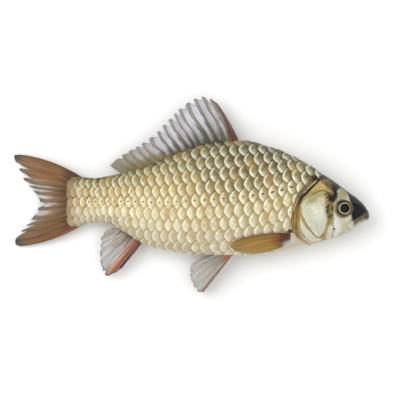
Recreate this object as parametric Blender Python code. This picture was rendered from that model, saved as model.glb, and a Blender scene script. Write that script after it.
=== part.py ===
"""A whole raw carp, lying on its left side: one body fused with its fins, and two eyes set in their sockets.

The scene is in metres, +Z up. The origin is on the surface that the fish lies on, within its flattened flank
and under the deepest part of its belly. +X runs to the snout, +Y to the back, and the right flank faces up.
Sizes below are millimetres of a fish 250 mm long, so TOTAL_LENGTH alone makes a larger or smaller one.
"""

import math
import random

import bmesh
import bpy
import numpy as np
from mathutils import Matrix, Vector
from mathutils.geometry import delaunay_2d_cdt

TOTAL_LENGTH = 0.250
MM = TOTAL_LENGTH / 250

# The outline of the body without its fins, from the tail root to the snout
TAIL_ROOT_X = -112.1
SNOUT_X = 101.8
BACK = [
    (TAIL_ROOT_X, 10.6), (-109.6, 14.4), (-103.6, 15.7), (-95.1, 14.6), (-86.7, 15.1), (-59.9, 21.4), (-40.2, 29.3),
    (-20.4, 36.9), (-7.8, 39.8), (12.0, 41.0), (21.8, 39.5), (41.6, 33.1), (61.3, 22.4), (92.3, 0.7), (99.7, -7.3),
    (SNOUT_X, -12.2),
]
BELLY = [
    (TAIL_ROOT_X, -15.5), (-109.6, -19.0), (-103.6, -19.2), (-97.3, -17.3), (-88.1, -16.5), (-79.6, -18.2),
    (-63.4, -28.2), (-55.0, -32.6), (-45.8, -35.2), (-21.1, -38.9), (7.0, -39.9), (33.8, -37.5), (71.9, -28.1),
    (80.3, -26.3), (89.5, -22.3), (97.3, -17.2), (100.4, -14.9), (SNOUT_X, -12.2),
]
HALF_WIDTH = [
    (TAIL_ROOT_X, 0.0), (-109.2, 3.2), (-103.6, 4.8), (-79.6, 8.0), (-40.2, 15.5), (7.0, 19.0), (51.5, 17.9),
    (71.2, 15.7), (90.9, 10.4), (99.4, 5.3), (SNOUT_X, 0.0),
]
WIDEST_AT = 0.52  # height of the widest line, as a share of the depth from belly to back
TRUNK_FULLNESS, HEAD_FULLNESS = 2.05, 2.6  # exponents of the cross-section, 2 being an ellipse
HEAD_FROM_X, HEAD_TO_X = 45.0, 80.0

# How the fish lies: the lower flank is pressed flat, and the tail sags to the surface
MEDIAN_HEIGHT = 16.5
PRESS_BLEND = 1.2
SAG_FROM_X, SAG_TO_X, SAG, SAG_POWER = -25.0, -148.0, 14.6, 1.7

# The lateral line, and the scales: columns from the gill opening back to the tail, rows either side
LATERAL_LINE = [(TAIL_ROOT_X, -2.1), (-66.3, -1.6), (-43.7, -2.3), (9.9, 1.3), (36.6, 5.4), (50.0, 7.8), (SNOUT_X, -6.0)]
SCALE_LENGTH = [(-112.0, 5.0), (-92.0, 4.4), (-80.0, 4.5), (-52.0, 5.7), (-10.0, 6.7), (22.0, 6.9), (60.0, 6.4)]
SCALE_ROW = [(-112.0, 6.3), (-88.0, 6.6), (-67.0, 7.4), (-46.0, 8.1), (-18.0, 8.8), (80.0, 8.8)]
FIRST_COLUMN_X, LAST_COLUMN_X = 66.0, -106.0
# Each scale's free edge is an arc that stands over the foot of the scale behind it. Every point of it is
# (behind the scale's middle, above it, lift): shares of the scale's length and row, and millimetres
SCALE_SHAPE = [
    (0.47, 0.0, 0.65), (0.30, 0.35, 0.60), (0.30, -0.35, 0.60),
    (0.62, 0.0, -0.30), (0.43, 0.46, -0.35), (0.43, -0.46, -0.35),
]
FULL_ROWS, FULL_TO_X = 4, -80.0  # beyond these rows and this station the feet have no corners

# The head: gill opening, gill cover plates, mouth, nostril and eye
GILL_OPENING = [
    (71.0, 19.5), (58.1, 7.2), (49.8, -0.5), (47.5, -6.6), (46.3, -13.5), (46.7, -19.9), (48.2, -23.8), (52.2, -28.1),
    (60.0, -32.5),
]
GILL_COVER_LIFT, GILL_SLIT_DEPTH, GILL_SLIT_WIDTH = 0.9, 0.5, 1.5
PLATE_EDGES = {
    "opercle": [(63.9, 12.9), (56.7, 3.3), (53.6, -2.7), (53.2, -10.4), (55.1, -15.0), (61.0, -21.2), (66.0, -25.4)],
    "preopercle": [(68.8, 5.2), (71.6, 0.4), (73.0, -5.5), (73.6, -12.0), (73.0, -19.5), (70.5, -25.6)],
}
PLATE_LIFT, PLATE_EDGE_WIDTH = 0.5, 1.3
MOUTH = [(SNOUT_X, -12.2), (98.2, -13.2), (95.8, -14.0), (93.4, -15.3), (91.6, -16.8), (90.4, -18.4)]
MOUTH_GAPE, MOUTH_DEPTH = 0.8, 0.16  # the depth is a share of the way in to the throat
LIP_LIFT, LIP_WIDTH = 0.4, 1.4
NOSTRIL, NOSTRIL_RADIUS, NOSTRIL_DEPTH = (92.0, -4.4), 1.3, 0.8
EYE, EYE_RADIUS, EYE_HALF_DEPTH, EYE_STANDS_OUT = (82.9, -6.8), 6.8, 3.6, 1.9
PUPIL_RADIUS, PUPIL_LIFT = 3.1, 0.35
EYE_FACES_SIDEWAYS = 0.5  # from 0, along the skin's own slope, to 1, straight out from the median plane
ORBIT_RIM_WIDTH, ORBIT_RIM_LIFT = 1.4, 0.6
SOCKET_GAP = 0.3
HEAD_GRID = 3.7
OUTLINE_STEP = 4.4
SNOUT_STATIONS = [4.6, 3.1, 1.9, 1.0, 0.4]  # how far behind its tip
SNOUT_SPACING = 2.3

# The fins: where each is rooted and where its free edge runs, first ray to last
DORSAL_ROOT = [(11.0, 38.0), (-12.0, 36.3), (-42.0, 26.2), (-57.0, 19.6), (-70.0, 16.4)]
DORSAL_EDGE = [(-5.3, 67.5), (-12.3, 71.9), (-18.3, 72.3), (-31.0, 65.0), (-52.2, 43.8), (-72.5, 31.2), (-81.1, 23.6)]
TAIL_ROOT = [(-97.5, 13.2), (-104.0, 10.2), (-107.5, -2.0), (-104.0, -14.2), (-98.5, -17.0)]
TAIL_EDGE = [
    (-141.0, 31.0), (-146.9, 31.4), (-149.2, 29.1), (-142.3, 13.6), (-134.0, 3.5), (-130.9, -2.3), (-133.6, -9.5),
    (-142.3, -20.5), (-147.4, -25.9), (-148.5, -31.5), (-145.4, -33.3), (-140.0, -32.8),
]
ANAL_ROOT = [(-57.4, -30.0), (-63.0, -26.0), (-68.5, -22.6), (-74.5, -18.4)]
ANAL_EDGE = [(-72.9, -49.0), (-79.6, -53.4), (-84.3, -54.0), (-88.2, -45.0), (-88.0, -32.4), (-87.4, -26.6), (-84.5, -22.9)]
PELVIC_ROOT = [(6.4, -38.0), (2.4, -37.4), (-2.4, -37.4), (-7.6, -38.0)]
PELVIC_EDGE = [(-15.2, -65.8), (-19.2, -65.6), (-24.2, -56.7), (-24.0, -47.0), (-15.4, -40.9)]
PECTORAL_ROOT = [(47.6, -24.4), (47.4, -27.4), (46.0, -30.0), (43.4, -32.4)]
PECTORAL_EDGE = [(7.8, -29.0), (3.6, -31.6), (5.6, -35.8), (17.0, -39.0), (30.0, -37.4)]
# How far the first ray and the last bow out of the straight, as shares of their length, towards the last ray
DORSAL_BOW, TAIL_BOW = (-0.03, 0.03), (-0.055, 0.055)
RAY_FROM, RAY_TO = 1.5, 0.7  # thickness of a ray at its root and at its tip
SHORT_FIN_REACHES = (0, 0.35, 0.7, 1)
PECTORAL_REACHES = (0, 0.13, 0.5, 1)  # its rows from root to tip, the first where it has cleared the skin
WEB_SHARE = 0.45  # thickness of the web between rays, as a share of the ray's

SKIN_COLOUR, EYE_COLOUR = (0.50, 0.44, 0.27), (0.03, 0.03, 0.03)


def smooth_run(points, per_span=16):
    """A close run of points on the Catmull-Rom curve through the given ones."""
    p = np.array(points, float)
    p = np.vstack([2 * p[0] - p[1], p, 2 * p[-1] - p[-2]])
    t = np.linspace(0, 1, per_span, endpoint=False)[:, None]
    spans = [
        0.5 * (2 * b + (c - a) * t + (2 * a - 5 * b + 4 * c - d) * t**2 + (3 * b - a - 3 * c + d) * t**3)
        for a, b, c, d in zip(p, p[1:], p[2:], p[3:])
    ]
    return np.vstack([*spans, p[-2:-1]])


def along(run, share):
    """The points at these shares of a run's length."""
    steps = np.r_[0, np.cumsum(np.linalg.norm(np.diff(run, axis=0), axis=1))]
    wanted = np.asarray(share, float) * steps[-1]
    return np.stack([np.interp(wanted, steps, run[:, axis]) for axis in range(run.shape[1])], axis=-1)


def height_on(run, x):
    return np.interp(x, run[:, 0], run[:, 1])


OVER_ANY_EDGE, LIMIT_HALVINGS, ON_EDGE = 90.0, 40, 1e-3  # how the edges of the skin's chart are searched for
BACK_RUN, BELLY_RUN = smooth_run(BACK), smooth_run(BELLY)
WIDTH_RUN, LINE_RUN = smooth_run(HALF_WIDTH), smooth_run(LATERAL_LINE)
GILL_RUN = smooth_run(GILL_OPENING)


def smoothstep(value):
    t = np.clip(value, 0, 1)
    return t * t * (3 - 2 * t)


def flank(x, d):
    """Points of the right flank at station x and at distance d over the skin above the lateral line.

    Each is (x, y, distance from the median plane).
    """
    x, d = np.atleast_1d(np.asarray(x, float)), np.atleast_1d(np.asarray(d, float))
    back, belly = height_on(BACK_RUN, x), height_on(BELLY_RUN, x)
    width = np.maximum(height_on(WIDTH_RUN, x), 0)
    widest = belly + WIDEST_AT * (back - belly)
    head = smoothstep((x - HEAD_FROM_X) / (HEAD_TO_X - HEAD_FROM_X))
    fullness = TRUNK_FULLNESS + (HEAD_FULLNESS - TRUNK_FULLNESS) * head
    turn = np.linspace(0, math.pi, 121)
    cosine = np.cos(turn)[None, :]
    reach = np.where(cosine > 0, (back - widest)[:, None], (widest - belly)[:, None])
    y = widest[:, None] + reach * np.sign(cosine) * np.abs(cosine) ** (2 / fullness)[:, None]
    out = width[:, None] * np.sin(turn)[None, :]
    steps = np.hypot(np.diff(y, axis=1), np.diff(out, axis=1))
    arc = np.hstack([np.zeros((len(x), 1)), np.cumsum(steps, axis=1)])
    line = height_on(LINE_RUN, x)
    at_line = interpolate_rows(-y, arc, -line)
    wanted = at_line - d
    return np.stack([x, interpolate_rows(arc, y, wanted), interpolate_rows(arc, out, wanted)], axis=-1)


def interpolate_rows(known, values, wanted):
    """np.interp for one wanted value in each row."""
    last = known.shape[1] - 2
    index = np.clip((known < wanted[:, None]).sum(axis=1) - 1, 0, last)
    row = np.arange(len(known))
    low, high = known[row, index], known[row, index + 1]
    share = np.clip((wanted - low) / np.maximum(high - low, 1e-9), 0, 1)
    return values[row, index] * (1 - share) + values[row, index + 1] * share


def skin_limits(x):
    """The distances over the skin from the lateral line to the back ridge and to the belly keel."""
    x = np.atleast_1d(np.asarray(x, float))
    limits = []
    for way in (1, -1):
        low, high = np.zeros(len(x)), np.full(len(x), OVER_ANY_EDGE)
        edge = flank(x, np.full(len(x), way * OVER_ANY_EDGE))
        for _ in range(LIMIT_HALVINGS):
            middle = (low + high) / 2
            short = np.linalg.norm(flank(x, way * middle) - edge, axis=1) > ON_EDGE
            low, high = np.where(short, middle, low), np.where(short, high, middle)
        limits.append(way * high)
    return limits


def lifted(x, d, lift):
    """Flank points moved out along the skin's normal."""
    step = 0.4
    point = flank(x, d)
    forward = flank(np.minimum(x + step, SNOUT_X), d) - flank(np.maximum(x - step, TAIL_ROOT_X), d)
    upward = flank(x, d + step) - flank(x, d - step)
    normal = np.cross(forward, upward)
    normal /= np.maximum(np.linalg.norm(normal, axis=1, keepdims=True), 1e-9)
    return point + normal * np.asarray(lift)[:, None]


def median_height(x):
    """Height of the fish's median plane over the surface that it lies on, lower towards the tail."""
    share = np.clip((SAG_FROM_X - np.asarray(x, float)) / (SAG_FROM_X - SAG_TO_X), 0, 1)
    return MEDIAN_HEIGHT - SAG * share**SAG_POWER


def laid_down(points):
    """Upright points (x, y, distance from the median plane) as they lie, the lower flank pressed flat."""
    x, y, out = np.asarray(points, float).reshape(-1, 3).T
    middle = median_height(x)
    over = middle + out
    pressed = np.where(
        over > PRESS_BLEND, over, np.where(over < -PRESS_BLEND, 0, (over + PRESS_BLEND) ** 2 / (4 * PRESS_BLEND))
    )
    return np.stack([x, y, np.where(out < 0, pressed, over)], axis=-1)


def scale_columns():
    """Stations of the scale columns, from the gill opening to the tail."""
    lengths = np.array(SCALE_LENGTH)
    x, columns = FIRST_COLUMN_X, []
    while x > LAST_COLUMN_X:
        columns.append((x, float(np.interp(x, lengths[:, 0], lengths[:, 1]))))
        x -= columns[-1][1]
    return columns


def gill_x(y):
    """Station of the gill opening's edge at height y."""
    order = np.argsort(GILL_RUN[:, 1])
    return np.interp(y, GILL_RUN[order, 1], GILL_RUN[order, 0])


def scale_points():
    """Chart points of the scales' raised free edges and of the feet just behind them."""
    rows = np.array(SCALE_ROW)
    found = []
    for x, length in scale_columns():
        for row in range(-8, 9):
            middle = x - (length / 2 if row % 2 else 0)
            high = float(np.interp(middle, rows[:, 0], rows[:, 1]))
            shape = SCALE_SHAPE if abs(row) <= FULL_ROWS and x > FULL_TO_X else SCALE_SHAPE[:4]
            found += [(middle - back * length, (row + up) * high, lift) for back, up, lift in shape]
    return found


def head_points():
    """A hexagonal grid of chart points over the head, and closer lines of them round the snout."""
    found = []
    for line, x in enumerate(np.arange(GILL_RUN[:, 0].min(), SNOUT_X - SNOUT_STATIONS[0] - 1, HEAD_GRID * 0.87)):
        start = -60 + (HEAD_GRID / 2 if line % 2 else 0)
        found += [(x, d, 0.0) for d in np.arange(start, 60, HEAD_GRID)]
    for x in SNOUT_X - np.array(SNOUT_STATIONS):
        above, below = (float(limit[0]) for limit in skin_limits(x))
        count = int((above - below) / SNOUT_SPACING) + 1
        found += [(x, d, 0.0) for d in np.linspace(below, above, count + 1)[1:-1]]
    return found


def chart_distance(x, y):
    """Distance over the skin from the lateral line to height y at station x."""
    steps = np.linspace(-60, 60, 241)
    heights = flank(np.full(len(steps), x), steps)[:, 1]
    return float(np.interp(y, heights, steps))


def beside(run, count, offset):
    """Points along a run, moved sideways by offset."""
    points = along(run, np.linspace(0, 1, count))
    ways = np.gradient(points, axis=0)
    ways /= np.linalg.norm(ways, axis=1, keepdims=True)
    return points + offset * np.stack([-ways[:, 1], ways[:, 0]], axis=-1)


def feature_points():
    """Chart points that draw the gill slit, plate edges, mouth, nostril and orbit, as (x, y, lift)."""
    points = []
    gill = smooth_run(GILL_OPENING[1:-1])
    points += [(*p, -GILL_SLIT_DEPTH) for p in beside(gill, 20, -GILL_SLIT_WIDTH / 2)]
    points += [(*p, GILL_COVER_LIFT) for p in beside(gill, 20, GILL_SLIT_WIDTH / 2)]
    for edge in PLATE_EDGES.values():
        run = smooth_run(edge)
        points += [(*p, GILL_COVER_LIFT - PLATE_LIFT) for p in beside(run, 11, -PLATE_EDGE_WIDTH / 2)]
        points += [(*p, GILL_COVER_LIFT + PLATE_LIFT / 2) for p in beside(run, 11, PLATE_EDGE_WIDTH / 2)]
    mouth = smooth_run(MOUTH[2:])
    points += [(*p, LIP_LIFT) for side in (-1, 1) for p in beside(mouth, 5, side * LIP_WIDTH)]
    points.append((*NOSTRIL, -NOSTRIL_DEPTH))
    for radius, count, lift in (
        (NOSTRIL_RADIUS, 6, 0.1),
        (0, 1, 0),
        (EYE_RADIUS - 1.0, 12, ORBIT_RIM_LIFT / 2),
        (EYE_RADIUS + ORBIT_RIM_WIDTH / 2, 20, ORBIT_RIM_LIFT),
    ):
        centre = NOSTRIL if radius == NOSTRIL_RADIUS else EYE
        for turn in np.arange(count) * 2 * math.pi / count:
            points.append((centre[0] + radius * math.cos(turn), centre[1] + radius * math.sin(turn), lift))
    return points


def cover_lift(x, y):
    """How far the gill cover and cheek stand out over the bare head shape, fading out towards the snout."""
    behind = smoothstep((x - gill_x(y)) / GILL_SLIT_WIDTH)
    return GILL_COVER_LIFT * behind * (1 - smoothstep((x - 62) / 22))


def flank_chart():
    """All chart points of one flank as (x, d, lift): outline first, then what lies inside it."""
    stations = np.r_[
        TAIL_ROOT_X, TAIL_ROOT_X + 1.2, np.arange(TAIL_ROOT_X + 4, HEAD_TO_X, OUTLINE_STEP),
        np.arange(HEAD_TO_X + 2.5, SNOUT_X - SNOUT_STATIONS[0] - 1, 2.5), SNOUT_X - np.array(SNOUT_STATIONS),
    ]
    above, below = skin_limits(stations)
    outline = [(x, d, 0.0) for x, d in zip(stations, above)]
    outline.append((SNOUT_X, float(above[-1] + below[-1]) / 2, 0.0))
    outline += [(x, d, 0.0) for x, d in zip(stations[::-1], below[::-1])]
    outline += [(TAIL_ROOT_X, float(d), 0.0) for d in np.linspace(below[0], above[0], 7)[1:-1]]

    inside = []
    features = [(x, chart_distance(x, y), lift) for x, y, lift in feature_points()]
    taken = np.array(features)[:, :2]
    margin = 1.1
    for x, d, lift in scale_points() + head_points():
        if x < TAIL_ROOT_X + margin:
            continue
        y = float(flank(x, d)[0, 1])
        on_scales = lift != 0.0
        past_gill = x - float(gill_x(y))
        if on_scales and (past_gill > -GILL_SLIT_WIDTH or x > GILL_RUN[:, 0].max()):
            continue
        if not on_scales and past_gill < GILL_SLIT_WIDTH:
            continue
        if np.hypot(*(taken - (x, d)).T).min() < (1.6 if on_scales else 1.9):
            continue
        inside.append((x, d, lift if on_scales else float(cover_lift(x, y))))
    inside += features
    xs = np.array([p[0] for p in inside])
    high, low = skin_limits(xs)
    margins = np.where(xs > SNOUT_X - SNOUT_STATIONS[0], 0.5, margin)
    keep = [p for p, top, bottom, m in zip(inside, high, low, margins) if bottom + m < p[1] < top - m]
    return outline, keep


def body_mesh():
    """The two flanks, each triangulated over its chart, joined along the outline."""
    outline, inside = flank_chart()
    chart = outline + inside
    corners = list(range(len(outline)))
    flat = [Vector((x, d)) for x, d, _ in chart]
    found = delaunay_2d_cdt(flat, [], [corners], 1, 1e-5)
    points, faces, origins = found[0], found[2], found[3]
    rim = [any(origin < len(outline) for origin in group) for group in origins]
    lift = [chart[group[0]][2] if group else 0.0 for group in origins]
    x, d = np.array([p.x for p in points]), np.array([p.y for p in points])
    upper = lifted(x, d, lift)
    upper[rim] = flank(x[rim], d[rim])
    upper[rim, 2] = 0
    lower = upper * (1, 1, -1)
    count = len(points)
    twin = [i if rim[i] else count + i for i in range(count)]
    faces = [face for face in faces if not all(rim[i] for i in face)]
    vertices = laid_down(np.vstack([upper, lower])) * MM
    triangles = [tuple(face) for face in faces] + [tuple(twin[i] for i in reversed(face)) for face in faces]
    return vertices, triangles


def shell(top, bottom):
    """A closed sheet between two grids of points, as vertices and faces."""
    rows, columns = top.shape[:2]
    count = rows * columns
    faces = []
    for i in range(rows - 1):
        for j in range(columns - 1):
            a = i * columns + j
            quad = (a, a + 1, a + columns + 1, a + columns)
            faces.append(quad)
            faces.append(tuple(count + v for v in reversed(quad)))
    border = [j for j in range(columns)]
    border += [i * columns + columns - 1 for i in range(1, rows)]
    border += [(rows - 1) * columns + j for j in range(columns - 2, -1, -1)]
    border += [i * columns for i in range(rows - 2, 0, -1)]
    for a, b in zip(border, border[1:] + border[:1]):
        faces.append((b, a, count + a, count + b))
    return np.vstack([top.reshape(-1, 3), bottom.reshape(-1, 3)]), faces


def new_object(name, vertices, faces):
    mesh = bpy.data.meshes.new(name)
    mesh.from_pydata([tuple(v) for v in vertices], [], faces)
    work = bmesh.new()
    work.from_mesh(mesh)
    bmesh.ops.remove_doubles(work, verts=work.verts, dist=1e-6)
    bmesh.ops.delete(work, geom=[v for v in work.verts if not v.link_faces], context="VERTS")
    bmesh.ops.recalc_face_normals(work, faces=work.faces)
    work.to_mesh(mesh)
    work.free()
    obj = bpy.data.objects.new(name, mesh)
    bpy.context.scene.collection.objects.link(obj)
    return obj


def fin(name, root, edge, rays, height, bow=(0.0, 0.0), reaches=(0, 0.25, 0.5, 0.75, 1), notch=0.09, seed=1):
    """A fan of bony rays with thinner web between them, and a free edge cut in between the ray tips.

    height(x, y, reach) is the fin's height over the surface, reach running from 0 at the root to 1 at the tip.
    """
    uneven = random.Random(seed)
    columns = 2 * rays - 1
    share = np.linspace(0, 1, columns)
    start, end = along(smooth_run(root), share), along(smooth_run(edge), share)
    is_web = np.arange(columns) % 2 == 1
    cut = np.array([notch * uneven.uniform(0.6, 1.5) if web else notch * uneven.uniform(0, 0.3) for web in is_web])
    cut[[0, -1]] = 0
    end = start + (end - start) * (1 - cut)[:, None]
    chord = end - start
    across = np.stack([-chord[:, 1], chord[:, 0]], axis=-1) * np.interp(share, (0, 1), bow)[:, None]
    top, bottom = [], []
    for reach in reaches:
        line = start + chord * reach + across * 4 * reach * (1 - reach)
        web = 1 - (1 - WEB_SHARE) * min(1, reach / reaches[1])
        thickness = (RAY_FROM + (RAY_TO - RAY_FROM) * reach) * np.where(is_web, web, 1)
        z = height(line[:, 0], line[:, 1], reach)
        top.append(np.column_stack([line, z + thickness / 2]))
        bottom.append(np.column_stack([line, z - thickness / 2]))
    vertices, faces = shell(np.array(top), np.array(bottom))
    return new_object(name, vertices * MM, faces)


def median_fin_height(droop):
    """Height of an unpaired fin: on the median plane, its free edge a little lower."""
    return lambda x, y, reach: median_height(x) - droop * reach**2


def pelvic_height(side):
    return lambda x, y, reach: MEDIAN_HEIGHT + side * (3.4 - 1.4 * reach) - (4.0 + 5.0 * (side < 0)) * reach**1.5


def pectoral_height(side):
    """Height of a pectoral fin: it leaves the flank behind the gill opening and lies back along it."""

    def height(x, y, reach):
        d = np.array([chart_distance(float(a), float(b)) for a, b in zip(x, y)])
        skin = flank(x, d)
        skin[:, 2] = side * (skin[:, 2] - 1.6 + 3.5 * min(1, reach / PECTORAL_REACHES[1]) + 0.5 * reach)
        laid = laid_down(skin)[:, 2]
        return np.maximum(laid, RAY_FROM / 2)

    return height


def fins():
    return [
        fin("dorsal_fin", DORSAL_ROOT, DORSAL_EDGE, 19, median_fin_height(2.5), bow=DORSAL_BOW, seed=2),
        fin("tail_fin", TAIL_ROOT, TAIL_EDGE, 20, median_fin_height(0.0), bow=TAIL_BOW, notch=0.10, seed=3),
        fin("anal_fin", ANAL_ROOT, ANAL_EDGE, 9, median_fin_height(2.5), reaches=SHORT_FIN_REACHES, seed=4),
        fin("pelvic_fin_right", PELVIC_ROOT, PELVIC_EDGE, 9, pelvic_height(1), reaches=SHORT_FIN_REACHES, seed=5),
        fin("pelvic_fin_left", PELVIC_ROOT, PELVIC_EDGE, 9, pelvic_height(-1), reaches=SHORT_FIN_REACHES, seed=6),
        fin("pectoral_fin_right", PECTORAL_ROOT, PECTORAL_EDGE, 11, pectoral_height(1), reaches=PECTORAL_REACHES, notch=0.04, seed=7),
        fin("pectoral_fin_left", PECTORAL_ROOT, PECTORAL_EDGE, 11, pectoral_height(-1), reaches=PECTORAL_REACHES, notch=0.04, seed=8),
    ]


def eye_frame(side):
    """Where an eye sits: a matrix whose Z points out of the head."""
    step = 1.5
    x, d = EYE[0], chart_distance(*EYE)
    spots = flank([x, x + step, x - step, x, x], [d, d, d, d + step, d - step])
    spots[:, 2] *= side
    here, front, rear, above, below = (Vector(p) for p in laid_down(spots))
    outward = (front - rear).cross(above - below).normalized() * side
    outward = outward.lerp(Vector((0, 0, side)), EYE_FACES_SIDEWAYS).normalized()
    centre = here + outward * (EYE_STANDS_OUT - EYE_HALF_DEPTH)
    return Matrix.Translation(centre * MM) @ outward.to_track_quat("Z", "Y").to_matrix().to_4x4()


def eyeball(name, side, grow=0.0):
    """A flattened ball, its pupil a little proud."""
    bpy.ops.mesh.primitive_uv_sphere_add(segments=24, ring_count=11, radius=1)
    ball = bpy.context.active_object
    ball.name = ball.data.name = name
    for vertex in ball.data.vertices:
        out = math.hypot(vertex.co.x, vertex.co.y) * EYE_RADIUS
        proud = PUPIL_LIFT * float(smoothstep((PUPIL_RADIUS + 1 - out) / 1.5)) if vertex.co.z > 0 else 0
        vertex.co.x *= (EYE_RADIUS + grow) * MM
        vertex.co.y *= (EYE_RADIUS + grow) * MM
        vertex.co.z = (vertex.co.z * (EYE_HALF_DEPTH + grow) + proud) * MM
    ball.matrix_world = eye_frame(side)
    return ball


def mouth_cutter():
    """A thin curved blade that opens the mouth line round the snout from one corner to the other."""
    turn = np.linspace(0, math.pi / 2, 9)
    x = MOUTH[-1][0] + (SNOUT_X - MOUTH[-1][0]) * np.sin(turn)
    y = np.interp(x, *np.array(MOUTH)[::-1].T)
    side = flank(x, np.array([chart_distance(a, b) for a, b in zip(x, y)]))
    run = np.vstack([side, side[-2::-1] * (1, 1, -1)])
    throat = np.array([MOUTH[-1][0] - 3, 0])
    deep = np.linspace(0.02, MOUTH_DEPTH, 9)
    blade = []
    for share in (1.25 + 0 * run[:, 0], 1 - np.r_[deep, deep[-2::-1]]):
        moved = throat + (run[:, [0, 2]] - throat) * share[:, None]
        blade.append(np.column_stack([moved[:, 0], run[:, 1], MEDIAN_HEIGHT + moved[:, 1]]))
    blade = np.array(blade)
    half = np.array([0, MOUTH_GAPE / 2, 0])
    return new_object("mouth_blade", *scaled(*shell(blade + half, blade - half)))


def scaled(vertices, faces):
    return vertices * MM, faces


def material(name, colour, roughness):
    made = bpy.data.materials.new(name)
    made.use_nodes = True
    shader = made.node_tree.nodes["Principled BSDF"]
    shader.inputs["Base Color"].default_value = (*colour, 1)
    shader.inputs["Roughness"].default_value = roughness
    shader.inputs["Metallic"].default_value = 0
    made.diffuse_color = (*colour, 1)
    return made


def joined(body, pieces, operation):
    """Applies one Boolean of all the pieces to the body, and removes them."""
    group = bpy.data.collections.new(operation.lower())
    bpy.context.scene.collection.children.link(group)
    for piece in pieces:
        group.objects.link(piece)
    boolean = body.modifiers.new(operation.lower(), "BOOLEAN")
    boolean.operation = operation
    boolean.operand_type = "COLLECTION"
    boolean.collection = group
    boolean.solver = "EXACT"
    bpy.ops.object.select_all(action="DESELECT")
    bpy.context.view_layer.objects.active = body
    body.select_set(True)
    bpy.ops.object.modifier_apply(modifier=boolean.name)
    for piece in pieces:
        bpy.data.objects.remove(piece)
    bpy.data.collections.remove(group)


def clear_scene():
    for obj in list(bpy.data.objects):
        bpy.data.objects.remove(obj)


def main():
    clear_scene()
    skin = material("wet_scaled_skin", SKIN_COLOUR, 0.35)
    eye = material("eye", EYE_COLOUR, 0.08)

    fish = new_object("fish", *body_mesh())
    joined(fish, fins(), "UNION")
    joined(fish, [mouth_cutter()], "DIFFERENCE")
    joined(fish, [eyeball(f"socket_{side}", side, SOCKET_GAP) for side in (1, -1)], "DIFFERENCE")
    fish.data.materials.clear()
    fish.data.materials.append(skin)
    for name, side in (("eye_right", 1), ("eye_left", -1)):
        ball = eyeball(name, side)
        ball.data.materials.append(eye)
        ball.data.shade_smooth()


main()
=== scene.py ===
# %% [markdown]
# # A whole raw fish, dressed
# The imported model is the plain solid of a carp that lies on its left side: one body with all its fins, and two
# eyes. Here it gets what the eye sees on a fish fresh from the water: overlapping scales, a soft wet head, fins of
# thin skin held by rays, and bright eyes. Sizes are millimetres of a fish 250 mm long.

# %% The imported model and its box
import math
import random

import bpy
import numpy as np
from mathutils import Matrix, Vector


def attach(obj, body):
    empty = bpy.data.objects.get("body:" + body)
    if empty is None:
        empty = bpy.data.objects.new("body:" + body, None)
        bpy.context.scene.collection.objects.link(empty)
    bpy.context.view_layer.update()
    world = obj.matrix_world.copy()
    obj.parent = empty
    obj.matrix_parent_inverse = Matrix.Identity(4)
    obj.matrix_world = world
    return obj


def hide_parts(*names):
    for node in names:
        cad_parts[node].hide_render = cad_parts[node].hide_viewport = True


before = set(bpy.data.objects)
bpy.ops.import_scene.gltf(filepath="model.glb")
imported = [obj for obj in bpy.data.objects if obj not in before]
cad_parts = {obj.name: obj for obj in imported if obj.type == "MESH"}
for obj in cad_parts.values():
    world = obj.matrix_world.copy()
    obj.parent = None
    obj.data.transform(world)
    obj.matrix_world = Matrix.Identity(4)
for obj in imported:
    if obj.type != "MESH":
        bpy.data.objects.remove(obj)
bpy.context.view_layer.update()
MM = 0.001

# %% [markdown]
# ## Camera
# The photograph looks square at the fish's right side. The fish lies down here, so the camera hangs straight above
# it. A wide lens would make the thick middle look bigger than the tail, and a long one keeps the proportions.

# %% The camera above the fish
MEDIAN_HEIGHT = 16.5
PICTURE_WIDTH, PICTURE_CENTRE = 281.9, (-17.6, -0.7)  # the lens sees 400 pixels of 0.705 mm
LENS, SENSOR = 300, 36
camera_height = MEDIAN_HEIGHT + PICTURE_WIDTH * LENS / SENSOR
bpy.ops.object.camera_add(location=(PICTURE_CENTRE[0] * MM, PICTURE_CENTRE[1] * MM, camera_height * MM), rotation=(0, 0, 0))
camera = bpy.context.active_object
camera.data.lens, camera.data.sensor_width = LENS, SENSOR
bpy.context.scene.camera = camera
print("camera hangs", round(camera_height), "mm up")

# %% [markdown]
# ## Helpers
# Colours are written as hex values the way a screen shows them, and a renderer counts light, so one function turns
# them to linear. One more function adds a node to a material with its settings and links.

# %% Colour and node helpers
def linear(code):
    """A hex colour as the linear red, green, blue and alpha that a shader takes."""
    parts = [int(code[i:i + 2], 16) / 255 for i in (1, 3, 5)]
    return (*[p / 12.92 if p <= 0.04045 else ((p + 0.055) / 1.055) ** 2.4 for p in parts], 1)


def add(material, kind, links=None, stops=None, **settings):
    """A node with its settings, its inputs linked or set, and a ramp's stops: place, colour and cover.

    An input's value is a node's output, a number, a vector or the hex code of a colour.
    """
    made = material.node_tree.nodes.new("ShaderNode" + kind)
    for name, value in settings.items():
        setattr(made, name, value)
    for name, value in (links or {}).items():
        if isinstance(value, bpy.types.NodeSocket):
            material.node_tree.links.new(value, made.inputs[name])
        else:
            made.inputs[name].default_value = linear(value) if isinstance(value, str) else value
    if stops:
        ramp = made.color_ramp.elements
        for place, *_ in stops[1:-1]:
            ramp.new(place)
        ramp[0].position, ramp[-1].position = stops[0][0], stops[-1][0]
        for stop, (_, code, *cover) in zip(ramp, stops):
            stop.color = (*linear(code)[:3], *(cover or [1]))
    return made


def new_material(name, **values):
    """A material with one Principled shader and its plain values."""
    made = bpy.data.materials.new(name)
    made.use_nodes = True
    for socket, value in values.items():
        made.node_tree.nodes["Principled BSDF"].inputs[socket.replace("_", " ")].default_value = value
    return made


def shader_of(material):
    return material.node_tree.nodes["Principled BSDF"].inputs


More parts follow.
